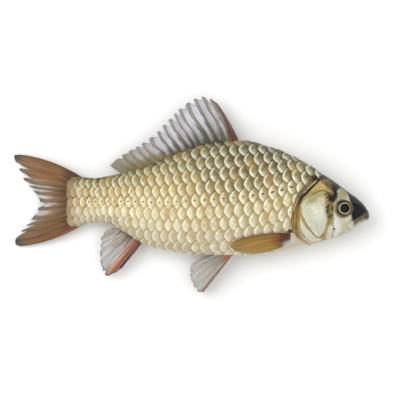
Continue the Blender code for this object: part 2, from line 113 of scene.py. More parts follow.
def drive(material, **sockets):
    """Links node outputs to the sockets of the material's shader."""
    for socket, output in sockets.items():
        material.node_tree.links.new(output, shader_of(material)[socket.replace("_", " ")])


# %% Helpers that put a shape in its place
def deselect():
    bpy.ops.object.select_all(action="DESELECT")


def points_of(piece):
    flat = np.empty(len(piece.data.vertices) * 3)
    piece.data.vertices.foreach_get("co", flat)
    return flat.reshape(-1, 3)


def put_points(piece, millimetres):
    piece.data.vertices.foreach_set("co", (millimetres * MM).ravel())
    piece.data.update()


def keep_values(piece, values):
    """Stores a number for each point, which the material reads by name."""
    for name, row in values.items():
        layer = piece.data.attributes.new(name, "FLOAT", "POINT")
        layer.data.foreach_set("value", np.asarray(row, np.float32) * np.ones(len(piece.data.vertices), np.float32))


def in_edit_mode(*steps):
    """Runs edit-mode operators, each with its settings, on the whole of the active piece."""
    bpy.ops.object.mode_set(mode="EDIT")
    bpy.ops.mesh.select_all(action="SELECT")
    for operator, settings in steps:
        operator(**settings)
    bpy.ops.object.mode_set(mode="OBJECT")


def joined_copies(model, name, copies):
    """Copies of a model as one piece: each has a mesh of its own, with the points and values given for it."""
    made = []
    for points, values in copies:
        copy = model.copy()
        copy.data = model.data.copy()
        bpy.context.scene.collection.objects.link(copy)
        put_points(copy, points)
        keep_values(copy, values)
        made.append(copy)
    deselect()
    for copy in made:
        copy.select_set(True)
    bpy.context.view_layer.objects.active = made[0]
    bpy.ops.object.join()
    piece = bpy.context.active_object
    piece.name = piece.data.name = name
    print(name, "is made of", len(made), "copies")
    return piece


MERGE_WITHIN = 1e-6
MERGE = (bpy.ops.mesh.remove_doubles, {"threshold": MERGE_WITHIN})
TURN_OUT = (bpy.ops.mesh.normals_make_consistent, {"inside": False})


def grid_sheet(name, columns, rows, place):
    """A grid primitive whose points are moved by place(u, v), then its seams merged and its faces turned out."""
    deselect()
    bpy.ops.mesh.primitive_grid_add(x_subdivisions=columns, y_subdivisions=rows, size=1)
    piece = bpy.context.active_object
    piece.name = piece.data.name = name
    shares = points_of(piece) + 0.5
    points, values = place(shares[:, 0], shares[:, 1])
    put_points(piece, points)
    keep_values(piece, values)
    in_edit_mode(MERGE, TURN_OUT)
    bpy.ops.object.shade_smooth()
    return piece


def fit(piece, material, node):
    """Gives a piece its material, hangs it on the root body and hides the solid it stands for."""
    piece.data.materials.clear()
    piece.data.materials.append(material)
    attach(piece, "root")
    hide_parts(node)
    print(piece.name, len(piece.data.polygons), "faces")


# %% [markdown]
# ## The shape of the fish
# A fish is a smooth body whose outline, width and height change along it. The solid was made from those runs, so
# the same runs and the same functions are used here, and every scale and every fold lies exactly on that body.

# %% The runs that describe the body
TAIL_ROOT_X, SNOUT_X = -112.1, 101.8
BACK = [
    (TAIL_ROOT_X, 10.6), (-109.6, 14.4), (-103.6, 15.7), (-95.1, 14.6), (-86.7, 15.1), (-59.9, 21.4), (-40.2, 29.3),
    (-20.4, 36.9), (-7.8, 39.8), (12.0, 41.0), (21.8, 39.5), (41.6, 33.1), (61.3, 22.4), (92.3, 0.7), (99.7, -7.3),
    (SNOUT_X, -12.2),
]
BELLY = [
    (TAIL_ROOT_X, -15.5), (-109.6, -19.0), (-103.6, -19.2), (-97.3, -17.3), (-88.1, -16.5), (-79.6, -18.2),
    (-63.4, -28.2), (-55.0, -32.6), (-45.8, -35.2), (-21.1, -38.9), (7.0, -39.9), (33.8, -37.5), (71.9, -28.1),
    (80.3, -26.3), (89.5, -22.3), (97.3, -17.2), (100.4, -14.9), (SNOUT_X, -12.2),
]
HALF_WIDTH = [
    (TAIL_ROOT_X, 0.0), (-109.2, 3.2), (-103.6, 4.8), (-79.6, 8.0), (-40.2, 15.5), (7.0, 19.0), (51.5, 17.9),
    (71.2, 15.7), (90.9, 10.4), (99.4, 5.3), (SNOUT_X, 0.0),
]
LATERAL_LINE = [(TAIL_ROOT_X, -2.1), (-66.3, -1.6), (-43.7, -2.3), (9.9, 1.3), (36.6, 5.4), (50.0, 7.8), (SNOUT_X, -6.0)]
GILL_OPENING = [
    (71.0, 19.5), (58.1, 7.2), (49.8, -0.5), (47.5, -6.6), (46.3, -13.5), (46.7, -19.9), (48.2, -23.8), (52.2, -28.1),
    (60.0, -32.5),
]
WIDEST_AT, TRUNK_FULLNESS, HEAD_FULLNESS = 0.52, 2.05, 2.6
HEAD_FROM_X, HEAD_TO_X = 45.0, 80.0
PRESS_BLEND = 1.2
SAG_FROM_X, SAG_TO_X, SAG, SAG_POWER = -25.0, -148.0, 14.6, 1.7
FLAT_SKIN = 0.6


def smooth_run(points, per_span=16):
    """A close run of points on the smooth curve through the given ones."""
    p = np.array(points, float)
    p = np.vstack([2 * p[0] - p[1], p, 2 * p[-1] - p[-2]])
    t = np.linspace(0, 1, per_span, endpoint=False)[:, None]
    spans = [
        0.5 * (2 * b + (c - a) * t + (2 * a - 5 * b + 4 * c - d) * t**2 + (3 * b - a - 3 * c + d) * t**3)
        for a, b, c, d in zip(p, p[1:], p[2:], p[3:])
    ]
    return np.vstack([*spans, p[-2:-1]])


def along(run, share):
    """The points at these shares of a run's length."""
    steps = np.r_[0, np.cumsum(np.linalg.norm(np.diff(run, axis=0), axis=1))]
    wanted = np.asarray(share, float) * steps[-1]
    return np.stack([np.interp(wanted, steps, run[:, axis]) for axis in range(run.shape[1])], axis=-1)


def smoothstep(value):
    t = np.clip(value, 0, 1)
    return t * t * (3 - 2 * t)


BACK_RUN, BELLY_RUN, WIDTH_RUN, LINE_RUN, GILL_RUN = map(smooth_run, (BACK, BELLY, HALF_WIDTH, LATERAL_LINE, GILL_OPENING))
print("body", round(SNOUT_X - TAIL_ROOT_X, 1), "mm from snout to tail root")


# %% A point of the skin by its station and its distance over the skin from the lateral line
def interpolate_rows(known, values, wanted):
    """np.interp for one wanted value in each row."""
    index = np.clip((known < wanted[:, None]).sum(axis=1) - 1, 0, known.shape[1] - 2)
    row = np.arange(len(known))
    low, high = known[row, index], known[row, index + 1]
    share = np.clip((wanted - low) / np.maximum(high - low, 1e-9), 0, 1)
    return values[row, index] * (1 - share) + values[row, index + 1] * share


def flank(x, d):
    """(x, y, distance from the median plane) of the right flank at station x, d over the lateral line."""
    x, d = np.broadcast_arrays(np.atleast_1d(np.asarray(x, float)), np.asarray(d, float))
    back, belly = (np.interp(x, run[:, 0], run[:, 1]) for run in (BACK_RUN, BELLY_RUN))
    width = np.maximum(np.interp(x, WIDTH_RUN[:, 0], WIDTH_RUN[:, 1]), 0)
    widest = belly + WIDEST_AT * (back - belly)
    head = smoothstep((x - HEAD_FROM_X) / (HEAD_TO_X - HEAD_FROM_X))
    fullness = TRUNK_FULLNESS + (HEAD_FULLNESS - TRUNK_FULLNESS) * head
    turn = np.linspace(0, math.pi, 121)
    cosine = np.cos(turn)[None, :]
    reach = np.where(cosine > 0, (back - widest)[:, None], (widest - belly)[:, None])
    y = widest[:, None] + reach * np.sign(cosine) * np.abs(cosine) ** (2 / fullness)[:, None]
    out = width[:, None] * np.sin(turn)[None, :]
    arc = np.hstack([np.zeros((len(x), 1)), np.cumsum(np.hypot(np.diff(y, axis=1), np.diff(out, axis=1)), axis=1)])
    wanted = interpolate_rows(-y, arc, -np.interp(x, LINE_RUN[:, 0], LINE_RUN[:, 1])) - d
    return np.stack([x, interpolate_rows(arc, y, wanted), interpolate_rows(arc, out, wanted)], axis=-1)


def lifted(x, d, lift):
    """Flank points moved out along the skin's normal."""
    step = 0.4
    forward = flank(np.minimum(x + step, SNOUT_X), d) - flank(np.maximum(x - step, TAIL_ROOT_X), d)
    upward = flank(x, d + step) - flank(x, d - step)
    normal = np.cross(forward, upward)
    normal /= np.maximum(np.linalg.norm(normal, axis=1, keepdims=True), 1e-9)
    return flank(x, d) + normal * np.asarray(lift)[:, None]


def median_height(x):
    share = np.clip((SAG_FROM_X - np.asarray(x, float)) / (SAG_FROM_X - SAG_TO_X), 0, 1)
    return MEDIAN_HEIGHT - SAG * share**SAG_POWER


def laid_down(x, y, out):
    """Upright points as the fish lies, its lower flank pressed flat by its weight."""
    over = median_height(x) + out
    pressed = np.where(over > PRESS_BLEND, over, np.where(over < -PRESS_BLEND, 0, (over + PRESS_BLEND) ** 2 / (4 * PRESS_BLEND)))
    return np.stack([x, y, np.where(out < 0, pressed, over)], axis=-1)


# %% [markdown]
# The chart of the skin ends at the back ridge and at the belly keel. Both are worked out once, for a close row of
# stations, because every piece needs them. The flat patch that the fish lies on keeps a thin order of layers, so
# that scales and skin don't fall into one plane there.

# %% The edges of the chart, and the skin as the fish lies
STATIONS = np.linspace(TAIL_ROOT_X, SNOUT_X, 429)


def skin_limit(way):
    low, high = np.zeros(len(STATIONS)), np.full(len(STATIONS), 90.0)
    edge = flank(STATIONS, np.full(len(STATIONS), way * 500.0))
    for _ in range(24):
        middle = (low + high) / 2
        short = np.linalg.norm(flank(STATIONS, way * middle) - edge, axis=1) > 1e-3
        low, high = np.where(short, middle, low), np.where(short, high, middle)
    return way * high


ABOVE, BELOW = skin_limit(1), skin_limit(-1)
CHART = np.linspace(-60, 60, 161)
HEIGHTS = np.array([flank(np.full(len(CHART), x), CHART)[:, 1] for x in STATIONS[::3]])


def limits(x):
    return np.interp(x, STATIONS, ABOVE), np.interp(x, STATIONS, BELOW)


def chart_distance(x, y):
    """Distance over the skin from the lateral line to height y at station x, for many points at once."""
    x, y = np.atleast_1d(np.asarray(x, float)), np.atleast_1d(np.asarray(y, float))
    place = np.clip((x - TAIL_ROOT_X) / (STATIONS[3] - STATIONS[0]), 0, len(HEIGHTS) - 1.001)
    found = 0
    for ahead in (0, 1):
        rows = HEIGHTS[place.astype(int) + ahead]
        share = place - place.astype(int)
        found = found + (share if ahead else 1 - share) * interpolate_rows(rows, np.broadcast_to(CHART, rows.shape), y)
    return found


def on_body(x, d, lift, side):
    """Points of the skin as the fish lies, standing out by lift. Side is 1 for the right flank, -1 for the left."""
    x = np.clip(x, TAIL_ROOT_X + 0.02, SNOUT_X)
    skin = lifted(x, d, lift)
    laid = laid_down(skin[:, 0], skin[:, 1], side * skin[:, 2])
    over = median_height(x) - flank(x, d)[:, 2]
    pressed = smoothstep((PRESS_BLEND - over) / (2 * PRESS_BLEND)) * (np.asarray(side) < 0)
    flat = np.maximum(FLAT_SKIN * (1 - lift), 0.03)
    laid[:, 2] = np.maximum(laid[:, 2] * (1 - pressed) + flat * pressed, 0.02)
    return laid


def gill_x(y):
    """Station of the gill opening at height y."""
    order = np.argsort(GILL_RUN[:, 1])
    return np.interp(y, GILL_RUN[order, 1], GILL_RUN[order, 0])


def round_the_body(v):
    """Once round the body, from the belly up the right flank and down the left: share of the way up, and side."""
    return np.where(v < 0.5, 2 * v, 2 - 2 * v), np.where(v <= 0.5, 1.0, -1.0)


print("skin reaches", round(ABOVE.max(), 1), "mm over the lateral line and", round(-BELOW.min(), 1), "under it")

# %% [markdown]
# ## Skin under the scales
# Between the scales of a real carp there is thin olive-brown skin. It is one tube from the gill opening to the tail
# root, made by wrapping a grid round the body, and it is sunk a little, so that the scales stand in it.

# %% The skin of the trunk
TRUNK_TO_X, TRUNK_SINK = 57.0, 0.35


def trunk_place(u, v):
    up, side = round_the_body(v)
    x = TAIL_ROOT_X + (TRUNK_TO_X - TAIL_ROOT_X) * np.minimum(u / 0.98, 1)
    above, below = limits(x)
    d = below + up * (above - below)
    points = on_body(x, d, np.full(len(x), -TRUNK_SINK), side)
    closed = u > 0.99
    points[closed] = points[closed].mean(axis=0)
    y = flank(x, d)[:, 1]
    return points, {
        "height": up,
        "tail_end": np.clip((-105 - x) / 3, 0, 1),
        "chest": np.clip((x - 33) / 5, 0, 1) * np.clip((-17 - y) / 5, 0, 1),
        "pale_patch": np.exp(-((x - 46.5) / 3.6) ** 2 - ((y + 29.5) / 3.4) ** 2),
        # painted shadow above the pectoral fin's root
        "pectoral_armpit_shadow": np.exp(-((x - 45.5) / 3.6) ** 2 - ((y + 22.6) / 1.9) ** 2),
    }


trunk_skin = grid_sheet("trunk_skin", 160, 120, trunk_place)

# %% [markdown]
# ## Scales
# A carp's scale is a thin bony plate, rooted forward under its neighbours, its rounded free edge pointing to the
# tail. About 250 cover each flank here, in rows that are shifted by half a scale. One is modelled from a circle, with
# insets for its rim and crown, and copied to its place on each row.

# %% One scale
SCALE_LENGTH = [(-112.0, 5.0), (-92.0, 4.4), (-80.0, 4.5), (-52.0, 5.7), (-10.0, 6.7), (22.0, 6.9), (60.0, 6.4)]
SCALE_ROW = [(-112.0, 6.3), (-88.0, 6.6), (-67.0, 7.4), (-46.0, 8.1), (-18.0, 8.8), (80.0, 8.8)]
SCALE_END = [
    (71.0, 19.5), (67.5, 16.9), (62.5, 14.3), (57.6, 11.4), (53.4, 7.6), (50.4, 3.4), (48.4, -1.5), (47.5, -6.6), (46.3, -13.5),
    (46.0, -18.3), (44.4, -21.6), (41.2, -25.0), (38.0, -30.0), (35.0, -37.0),
]
FIRST_COLUMN_X, LAST_COLUMN_X, MOST_ROWS = 66.0, -110.6, 8
SCALE_FORWARD, SCALE_HALF_LENGTH, SCALE_HALF_HEIGHT, SCALE_ROUNDNESS = 0.17, 0.67, 0.66, 1.6
FREE_EDGE_LIFT, ROOT_LIFT, CROWN, RIM_DROP = 0.50, -0.40, 0.20, 0.60
SCALE_BORDERS = (0.05, 0.22, 0.34)
OVER_RIDGE, SHORT_OF_END = {1: 0.3, -1: 0.12}, 0.8  # how far past the ridges a row may lie, in scales, and the gap at the head
WILD_TURN, WILD_SHIFT, WILD_LIFT, WILD_SIZE = 13, 0.55, 0.08, (-0.12, 0.16)  # unevenness near the tail: degrees, mm, mm, share
SUNK_PAST_END, SINK_LENGTH = 0.7, 1.2

deselect()
bpy.ops.mesh.primitive_circle_add(vertices=20, radius=1, fill_type="NGON")
one_scale = bpy.context.active_object
one_scale.name = one_scale.data.name = "one_scale"
insets = [(bpy.ops.mesh.inset, {"thickness": border, "depth": 0}) for border in SCALE_BORDERS]
in_edit_mode(*insets, (bpy.ops.mesh.poke, {}))
bpy.ops.object.shade_smooth()
scale_shape = points_of(one_scale)[:, :2]
scale_chart = one_scale.data.uv_layers[0] if one_scale.data.uv_layers else one_scale.data.uv_layers.new()
scale_chart.name = "scale_face"
corners = [one_scale.data.loops[i].vertex_index for i in range(len(one_scale.data.loops))]
scale_chart.data.foreach_set("uv", (scale_shape[corners] * 0.5 + 0.5).ravel())
print("one scale has", len(one_scale.data.polygons), "faces")


# %% Where each scale sits
END_RUN = smooth_run(SCALE_END)


def scale_end_x(y):
    """Station where the scales stop behind the head, at height y."""
    order = np.argsort(END_RUN[:, 1])
    return np.interp(y, END_RUN[order, 1], END_RUN[order, 0])


def scale_places(side):
    """(station, distance over the skin, length, height, row) of each scale of a flank."""
    places, x = [], FIRST_COLUMN_X
    while x > LAST_COLUMN_X:
        length = float(np.interp(x, *np.array(SCALE_LENGTH).T))
        for row in range(-MOST_ROWS, MOST_ROWS + 1):
            middle = x - (length / 2 if row % 2 else 0)
            high = float(np.interp(middle, *np.array(SCALE_ROW).T))
            above, below = limits(middle)
            y = float(flank(middle, row * high)[0, 1])
            on_flank = below - OVER_RIDGE[side] * high < row * high < above + OVER_RIDGE[side] * high
            if on_flank and middle - length / 2 < scale_end_x(y) - SHORT_OF_END:
                places.append((middle, row * high, length, high, row))
        x -= length
    return places


def scale_coat(name, side, seed):
    """All scales of one flank as one piece: each is a copy of the one scale, bent to the skin where it sits."""
    uneven = random.Random(seed)
    places = scale_places(side)
    a, b = scale_shape.T
    round_at = np.hypot(a, b)
    profile = ROOT_LIFT + (FREE_EDGE_LIFT - ROOT_LIFT) * (1 - a) / 2 + CROWN * (1 - round_at**2)
    profile = np.where(round_at > 0.98, profile - RIM_DROP, profile)
    pointed = round_at / np.maximum((np.abs(a) ** SCALE_ROUNDNESS + np.abs(b) ** SCALE_ROUNDNESS) ** (1 / SCALE_ROUNDNESS), 1e-9)
    stations, distances, lifts = [], [], []
    for middle, d, length, high, _ in places:
        wild = float(np.interp(middle, (-95, -40), (1, 0.3)))
        turn = math.radians(uneven.uniform(-WILD_TURN, WILD_TURN)) * wild
        grow = (1 + wild * uneven.uniform(*WILD_SIZE)) * pointed
        u = (SCALE_FORWARD + SCALE_HALF_LENGTH * grow * (a * math.cos(turn) - b * math.sin(turn))) * length
        w = SCALE_HALF_HEIGHT * grow * (a * math.sin(turn) + b * math.cos(turn)) * high
        stations.append(middle + WILD_SHIFT * wild * uneven.uniform(-1, 1) + u)
        distances.append(d + WILD_SHIFT * wild * uneven.uniform(-1, 1) + w)
        flatter = float(np.interp(d, (-38, -22), (0.55, 1))) * float(np.interp(middle, (-105, -45), (0.6, 1)))
        lifts.append(profile * flatter + uneven.uniform(-WILD_LIFT, WILD_LIFT))
    x, d, lift = (np.concatenate(rows) for rows in (stations, distances, lifts))
    x = np.maximum(x, TAIL_ROOT_X + 0.3)
    above, below = limits(np.clip(x, TAIL_ROOT_X, SNOUT_X))
    over, under = d > above, d < below
    d = np.where(over, 2 * above - d, np.where(under, 2 * below - d, d))
    way = np.where(over | under, -side, side)
    y = flank(np.clip(x, TAIL_ROOT_X, SNOUT_X), d)[:, 1]
    past_end = smoothstep((x - scale_end_x(y)) / SINK_LENGTH + 0.5)
    points = on_body(x, d, lift * (1 - past_end) - SUNK_PAST_END * past_end, way)
    copies = []
    for (middle, d0, *_), own_points in zip(places, np.split(points, len(places))):
        top, bottom = limits(middle)
        along_body = (middle - TAIL_ROOT_X) / (SNOUT_X - TAIL_ROOT_X)
        height = 0.5 + 0.5 * (d0 / top if d0 > 0 else d0 / -bottom)
        copies.append((own_points, {"height": height, "along": along_body, "chance": uneven.random()}))
    coat = joined_copies(one_scale, name, copies)
    if side < 0:
        in_edit_mode((bpy.ops.mesh.flip_normals, {}))
    return coat


scales_right = scale_coat("scales_right", 1, 11)
scales_left = scale_coat("scales_left", -1, 12)
bpy.data.objects.remove(one_scale)

# %% [markdown]
# The lateral line is a row of scales with a pore in each, a small dark slot through which the fish feels the water.
# One pore is a flattened ball, and a copy is set on each scale of that row.

# %% Pores of the lateral line
PORE_HALF_LENGTH, PORE_HALF_HEIGHT, PORE_HALF_DEPTH, PORE_LIFT = 0.95, 0.42, 0.16, 0.52
PORES_FROM_X, PORES_TO_X = -98, 50
deselect()
bpy.ops.mesh.primitive_uv_sphere_add(segments=10, ring_count=6, radius=1)
one_pore = bpy.context.active_object
pore_shape = points_of(one_pore)
pores = []
uneven = random.Random(5)
for side in (1, -1):
    for middle, d, length, high, row in scale_places(side):
        if row != 0 or not PORES_FROM_X < middle < PORES_TO_X:
            continue
        slope = math.radians(uneven.uniform(-2, 14))
        size = float(np.interp(middle, (PORES_FROM_X, 10, 30), (0.75, 0.95, 1.3))) * uneven.uniform(0.85, 1.1)
        a, b, c = (pore_shape * (size, size, 1)).T
        u = PORE_HALF_LENGTH * a * math.cos(slope) - PORE_HALF_HEIGHT * b * math.sin(slope) - 0.05 * length
        w = PORE_HALF_LENGTH * a * math.sin(slope) + PORE_HALF_HEIGHT * b * math.cos(slope)
        pores.append((on_body(middle + u, d + w, PORE_LIFT + PORE_HALF_DEPTH * c, np.full(len(a), float(side))), {}))
line_pores = joined_copies(one_pore, "lateral_line_pores", pores)
bpy.data.objects.remove(one_pore)
in_edit_mode(TURN_OUT)
bpy.ops.object.shade_smooth()

# %% [markdown]
# ## Head
# The head has no scales: thin wet skin over flat bones, with the gill cover's plates, a mouth that opens forward,
# two nostrils and the rim round the eye. A grid is wrapped round it whose rear edge follows the gill opening, and
# each point is lifted or sunk by its distance from the lines and plates that can be felt there.

# %% Lines and plates of the head
MOUTH = [(SNOUT_X, -12.2), (98.2, -13.2), (95.8, -14.0), (93.4, -15.3), (91.6, -16.8), (90.4, -18.4)]
EYE, EYE_RADIUS, EYE_HALF_DEPTH, EYE_STANDS_OUT, EYE_FACES_SIDEWAYS = (82.9, -6.8), 6.8, 3.6, 1.9, 0.5
NOSTRILS = [(92.6, -4.9), (90.6, -3.7)]
SUTURE = [(75.6, -6.5), (76.0, -12.0), (76.0, -20.0), (75.2, -26.5)]
CHEEK_LINE = [(77.0, -13.5), (80.5, -17.3), (85.5, -18.6), (89.6, -16.8)]
JAW_LINE = [(90.4, -18.4), (86.0, -22.4), (80.0, -25.0)]
PLATE = [
    (58.8, 0.5), (65.1, 4.1), (71.0, 4.3), (72.3, -1.3), (72.8, -6.7), (72.3, -11.2), (71.0, -15.2), (70.3, -19.3),
    (68.3, -23.3), (65.1, -25.8), (62.9, -24.2), (59.3, -19.7), (56.1, -15.2), (53.9, -10.7), (53.2, -6.7),
    (53.9, -3.5), (56.1, -0.4),
]


def run_distance(points, x, y, closed=False):
    """Distance to a smooth run of points, and the share of its length where it is nearest."""
    run = smooth_run(list(points) + (list(points[:1]) if closed else []), 4)
    nearest, at = np.full(len(x), 1e9), np.zeros(len(x))
    for number, (start, step) in enumerate(zip(run[:-1], np.diff(run, axis=0))):
        t = np.clip(((x - start[0]) * step[0] + (y - start[1]) * step[1]) / max(step @ step, 1e-9), 0, 1)
        distance = np.hypot(x - start[0] - t * step[0], y - start[1] - t * step[1])
        at = np.where(distance < nearest, (number + t) / (len(run) - 1), at)
        nearest = np.minimum(distance, nearest)
    return nearest, at


def depth_inside(points, x, y):
    """How deep a point lies inside a closed outline, negative outside it."""
    run = smooth_run(list(points) + list(points[:1]), 4)
    inside = np.zeros(len(x), bool)
    for (ax, ay), (bx, by) in zip(run[:-1], run[1:]):
        crosses = (ay > y) != (by > y)
        at = ax + (y - ay) / np.where(abs(by - ay) < 1e-9, 1e-9, by - ay) * (bx - ax)
        inside ^= crosses & (x < at)
    return run_distance(points, x, y, closed=True)[0] * np.where(inside, 1, -1)


def bump(distance, width):
    return np.exp(-((distance / width) ** 2))


# %% The relief of the head
COVER_LIFT, PLATE_LIFT, SUTURE_DEPTH, MEMBRANE_WIDTH, WRINKLE = 1.0, 0.45, 0.35, 4.2, 0.16
ORBIT_SINK, OPENING_LENGTH, WRINKLE_SPACING = 1.5, 74, 1.9


def gill_distance(x, y):
    """Distance in front of the gill opening, and the share of the way down it."""
    distance, at = run_distance(GILL_OPENING, x, y)
    return distance * np.where(x > gill_x(y), 1, -1), at


def membrane_width(down):
    """The membrane along the gill opening is narrow at the top and runs out below."""
    return MEMBRANE_WIDTH * (0.45 + 0.55 * smoothstep((down - 0.12) / 0.28) - 0.65 * smoothstep((down - 0.72) / 0.28))


def head_relief(x, y):
    """How far the skin stands out, and its distances from the gill opening and the mouth."""
    ahead, down = gill_distance(x, y)
    width = membrane_width(down)
    low_on_head = 1 - smoothstep((y - 9) / 8)
    edge = smoothstep((ahead + 0.7) / 1.2)
    lift = -0.8 * (1 - edge) + edge * (0.25 + (COVER_LIFT - 0.25) * low_on_head * (1 - smoothstep((x - 62) / 22)))
    plate = depth_inside(PLATE, x, y)
    lift += PLATE_LIFT * smoothstep((plate + 0.6) / 1.4)
    membrane = smoothstep(ahead / 1.0) * smoothstep((width + 0.8 - ahead) / 1.5) * low_on_head
    lift += membrane * WRINKLE * np.sin(2 * math.pi * (down * OPENING_LENGTH / WRINKLE_SPACING) + 1.4 * np.sin(ahead * 2.0))
    lift += 0.35 * bump(ahead - 0.8, 0.8) * low_on_head
    lift -= 0.30 * bump(ahead - width - 0.6, 0.6) * low_on_head
    for line, depth, wide in ((SUTURE, SUTURE_DEPTH, 0.5), (CHEEK_LINE, 0.22, 0.7), (JAW_LINE, 0.3, 0.5)):
        lift -= depth * bump(run_distance(line, x, y)[0], wide)
    lift += 0.25 * bump(run_distance([(p + 2.2, q) for p, q in SUTURE], x, y)[0], 1.2)
    from_eye = np.hypot(x - EYE[0], y - EYE[1])
    behind = smoothstep((EYE[0] - x + 3) / 8)
    lift += 0.35 * bump(from_eye - 7.6, 0.8) * (1 - behind) - 1.6 * smoothstep((6.4 - from_eye) / 1.4)
    lift -= ORBIT_SINK * behind * smoothstep((9.6 - from_eye) / 3.0)
    mouth = run_distance(MOUTH, x, y)[0]
    lift += 0.45 * bump(mouth - 1.25, 0.75) - 1.0 * bump(mouth, 0.38)
    for nx, ny in NOSTRILS:
        away = np.hypot(x - nx, y - ny)
        lift += 0.35 * bump(away - 1.25, 0.45) - 0.9 * bump(away, 0.65)
    lift += 0.10 * np.sin(x * 0.9 + 1.3 * np.sin(y * 0.5)) * np.sin(y * 0.8 + 0.6 * np.sin(x * 0.7)) * edge
    return lift, ahead, down, mouth

# %% [markdown]
# The head's colours are laid in zones, as a painter would: the pale gill plate, the tan membrane along the gill
# opening, the dark crown and snout, the golden temple. Each zone is an outline on the side of the head, and the
# points keep how deep they lie in it, so the material can fray its edge with noise.

# %% The colour zones of the head
HEAD_ZONES = {
    "chest": ("#cfbb9e", 2.0, 3.4, 0.8, [(50, -27), (60, -28), (74, -26.8), (88, -22.8), (92, -24), (60, -37), (46, -36)]),
    "forehead": (
        "#453a22", 1.0, 2.0, 1.0,
        [
            (60, 16), (63.4, 11.4), (70, 8), (74.6, 3), (78, 0.6), (80, 7), (90, 2), (96, -5), (103, -4), (95, 8), (80, 18),
            (64, 24)
        ]
    ),
    "gill_side": ("#a48f58", 1.4, 2.4, 1.0, [
        (49.8, -13), (50.8, -3), (55.4, 2.8), (60.2, 8.0), (64.6, 13.4), (73, 10), (76.4, 4), (76.0, -8), (75.8, -18), (75, -27),
        (64, -29.6), (56, -27), (50.8, -19.5)]),
    "subopercle": (
        "#d3cfb8", 0.8, 1.4, 1.0,
        [(52.6, -12.5), (54.8, -17), (58.6, -21.6), (64, -26.2), (68, -27.8), (61.5, -29.4), (55.6, -25.6), (52.4, -19.4)]
    ),
    "plate": ("#c9cab2", 0.7, 1.4, 1.0, PLATE),
    "plate_top": (
        "#a0955c", 2.2, 3.4, 0.9, [(55.6, -3), (59.5, 1.6), (66, 4.8), (71.5, 4.6), (71.8, 0.6), (66, 0.2), (60.4, -3.2)]
    ),
    "plate_pink": ("#d8bf98", 2.0, 3.0, 0.6, [(65.5, 0), (70.4, 1), (72.2, -5), (70.2, -10), (67.2, -5)]),
    "plate_shine": ("#e2e0c8", 2.2, 3.2, 0.7, [(60.4, -4.5), (66, -5), (69, -10), (67, -15), (61.4, -10.6)]),
    "plate_low": ("#c9cabb", 1.8, 3.0, 0.7, [(58, -13.6), (66, -15), (68, -20), (65, -24), (60.8, -19)]),
    "streak_gold": ("#94803f", 1.4, 2.6, 0.9, [(70.6, 4), (75.8, 3), (75.4, -17), (73.2, -18), (72.2, -12), (71.2, -7)]),
    "streaks": ("#4a3f1f", 1.6, 2.0, 1.0, [(69.0, 4.4), (75.8, 3.6), (75.8, -11), (72.0, -13.2), (69.4, -6)]),
    "band": ("#d0cebd", 0.7, 1.0, 1.0, [(71.9, -18.6), (75.2, -18.6), (75.0, -26.6), (70.4, -26.8)]),
    "crown": ("#3a3019", 1.6, 3.4, 1.0, [
        (60, 26), (61.6, 14.4), (66, 14.0), (70, 13.4), (74, 11.4), (78, 8.0), (82, 6.4), (86, 3.4), (89, 0), (95, -3), (100, -8),
        (102, -4), (98, 4), (85, 14)]),
    "crown_dark": (
        "#120e08", 1.4, 2.4, 0.95,
        [(66, 20), (66.6, 15.6), (72, 12.9), (78.0, 9.2), (83, 7), (88.6, 1.6), (95, -4), (101, -9), (101, -3), (94, 4), (82, 14)]
    ),
    "nape": (
        "#2b2318", 1.4, 2.6, 0.95,
        [(53, 8), (56, 4.6), (60.6, 9.6), (64.4, 13.4), (70, 13.2), (73, 12), (71, 15.4), (65, 16.2), (58, 13.2)]
    ),
    "temple": (
        "#bfa566", 1.4, 4.2, 1.0,
        [
            (64.6, 12.2), (62.2, 9.4), (60.4, 6.0), (62.6, 5.0), (66, 6.4), (71.4, 5.6), (76, 4.2), (76.8, 7), (75, 10.2),
            (71, 12.8)
        ]
    ),
    "temple_dark": ("#4b3e22", 1.0, 6.5, 0.85, [(67, 12.6), (71, 8.4), (74.4, 4.6), (77.4, 4.4), (78, 8), (74, 12)]),
    "behind_eye": (
        "#15110c", 1.2, 2.4, 0.97,
        [
            (75.0, 10.0), (74.8, 5.4), (75.2, 3.4), (72.6, 1.6), (72.8, -1.2), (76.4, -2.2), (78.2, 0.4), (79.0, 4.5),
            (79.2, 8.2), (77.6, 10.6)
        ]
    ),
    "over_eye": (
        "#a5a182", 0.8, 1.8, 1.0, [(78.9, 0.6), (79.2, 5.4), (80.6, 7.0), (83.4, 6.0), (85.6, 3.2), (85.6, 0.6), (82, -0.5)]
    ),
    "over_yellow": ("#a2944a", 0.8, 2.0, 0.8, [(81.6, 6.4), (84.6, 5.2), (85.4, 3.0), (83, 2.4), (82, 4.2)]),
    "snout": (
        "#17140f", 1.3, 2.2, 1.0,
        [
            (86.0, 3.4), (87.2, -1), (88.6, -6), (88.0, -11), (89.6, -15.4), (92.8, -14.4), (96.4, -12.6), (100.5, -11.4),
            (102.4, -8), (99, -3), (95, 1), (90, 5)
        ]
    ),
    "upper_lip": ("#645549", 1.2, 1.6, 0.95, [(95.0, -12.8), (97.6, -10.4), (102, -8.6), (103, -12.9), (98.6, -13.6)]),
    "lower_jaw": ("#cfccc0", 0.8, 1.2, 1.0, [(90.6, -18.6), (95.5, -15.9), (100.4, -14.6), (98.4, -18), (91.6, -22)]),
    "lip_orange": (
        "#8c5a2c", 0.7, 1.2, 0.65, [(90.4, -16.9), (94.4, -14.8), (99.4, -13.4), (99.4, -14.3), (95.4, -15.6), (91.2, -18.0)]
    ),
    "cheek_light": ("#e8eadf", 2.6, 3.6, 0.8, [(76.6, -9), (78.2, -13), (81, -18), (80, -23), (76.4, -25.5), (76.4, -14)]),
    "cheek_olive": ("#b9b38c", 1.5, 3.6, 0.6, [(82, -16.5), (86.4, -16.6), (87.4, -20), (83, -21.4)]),
}
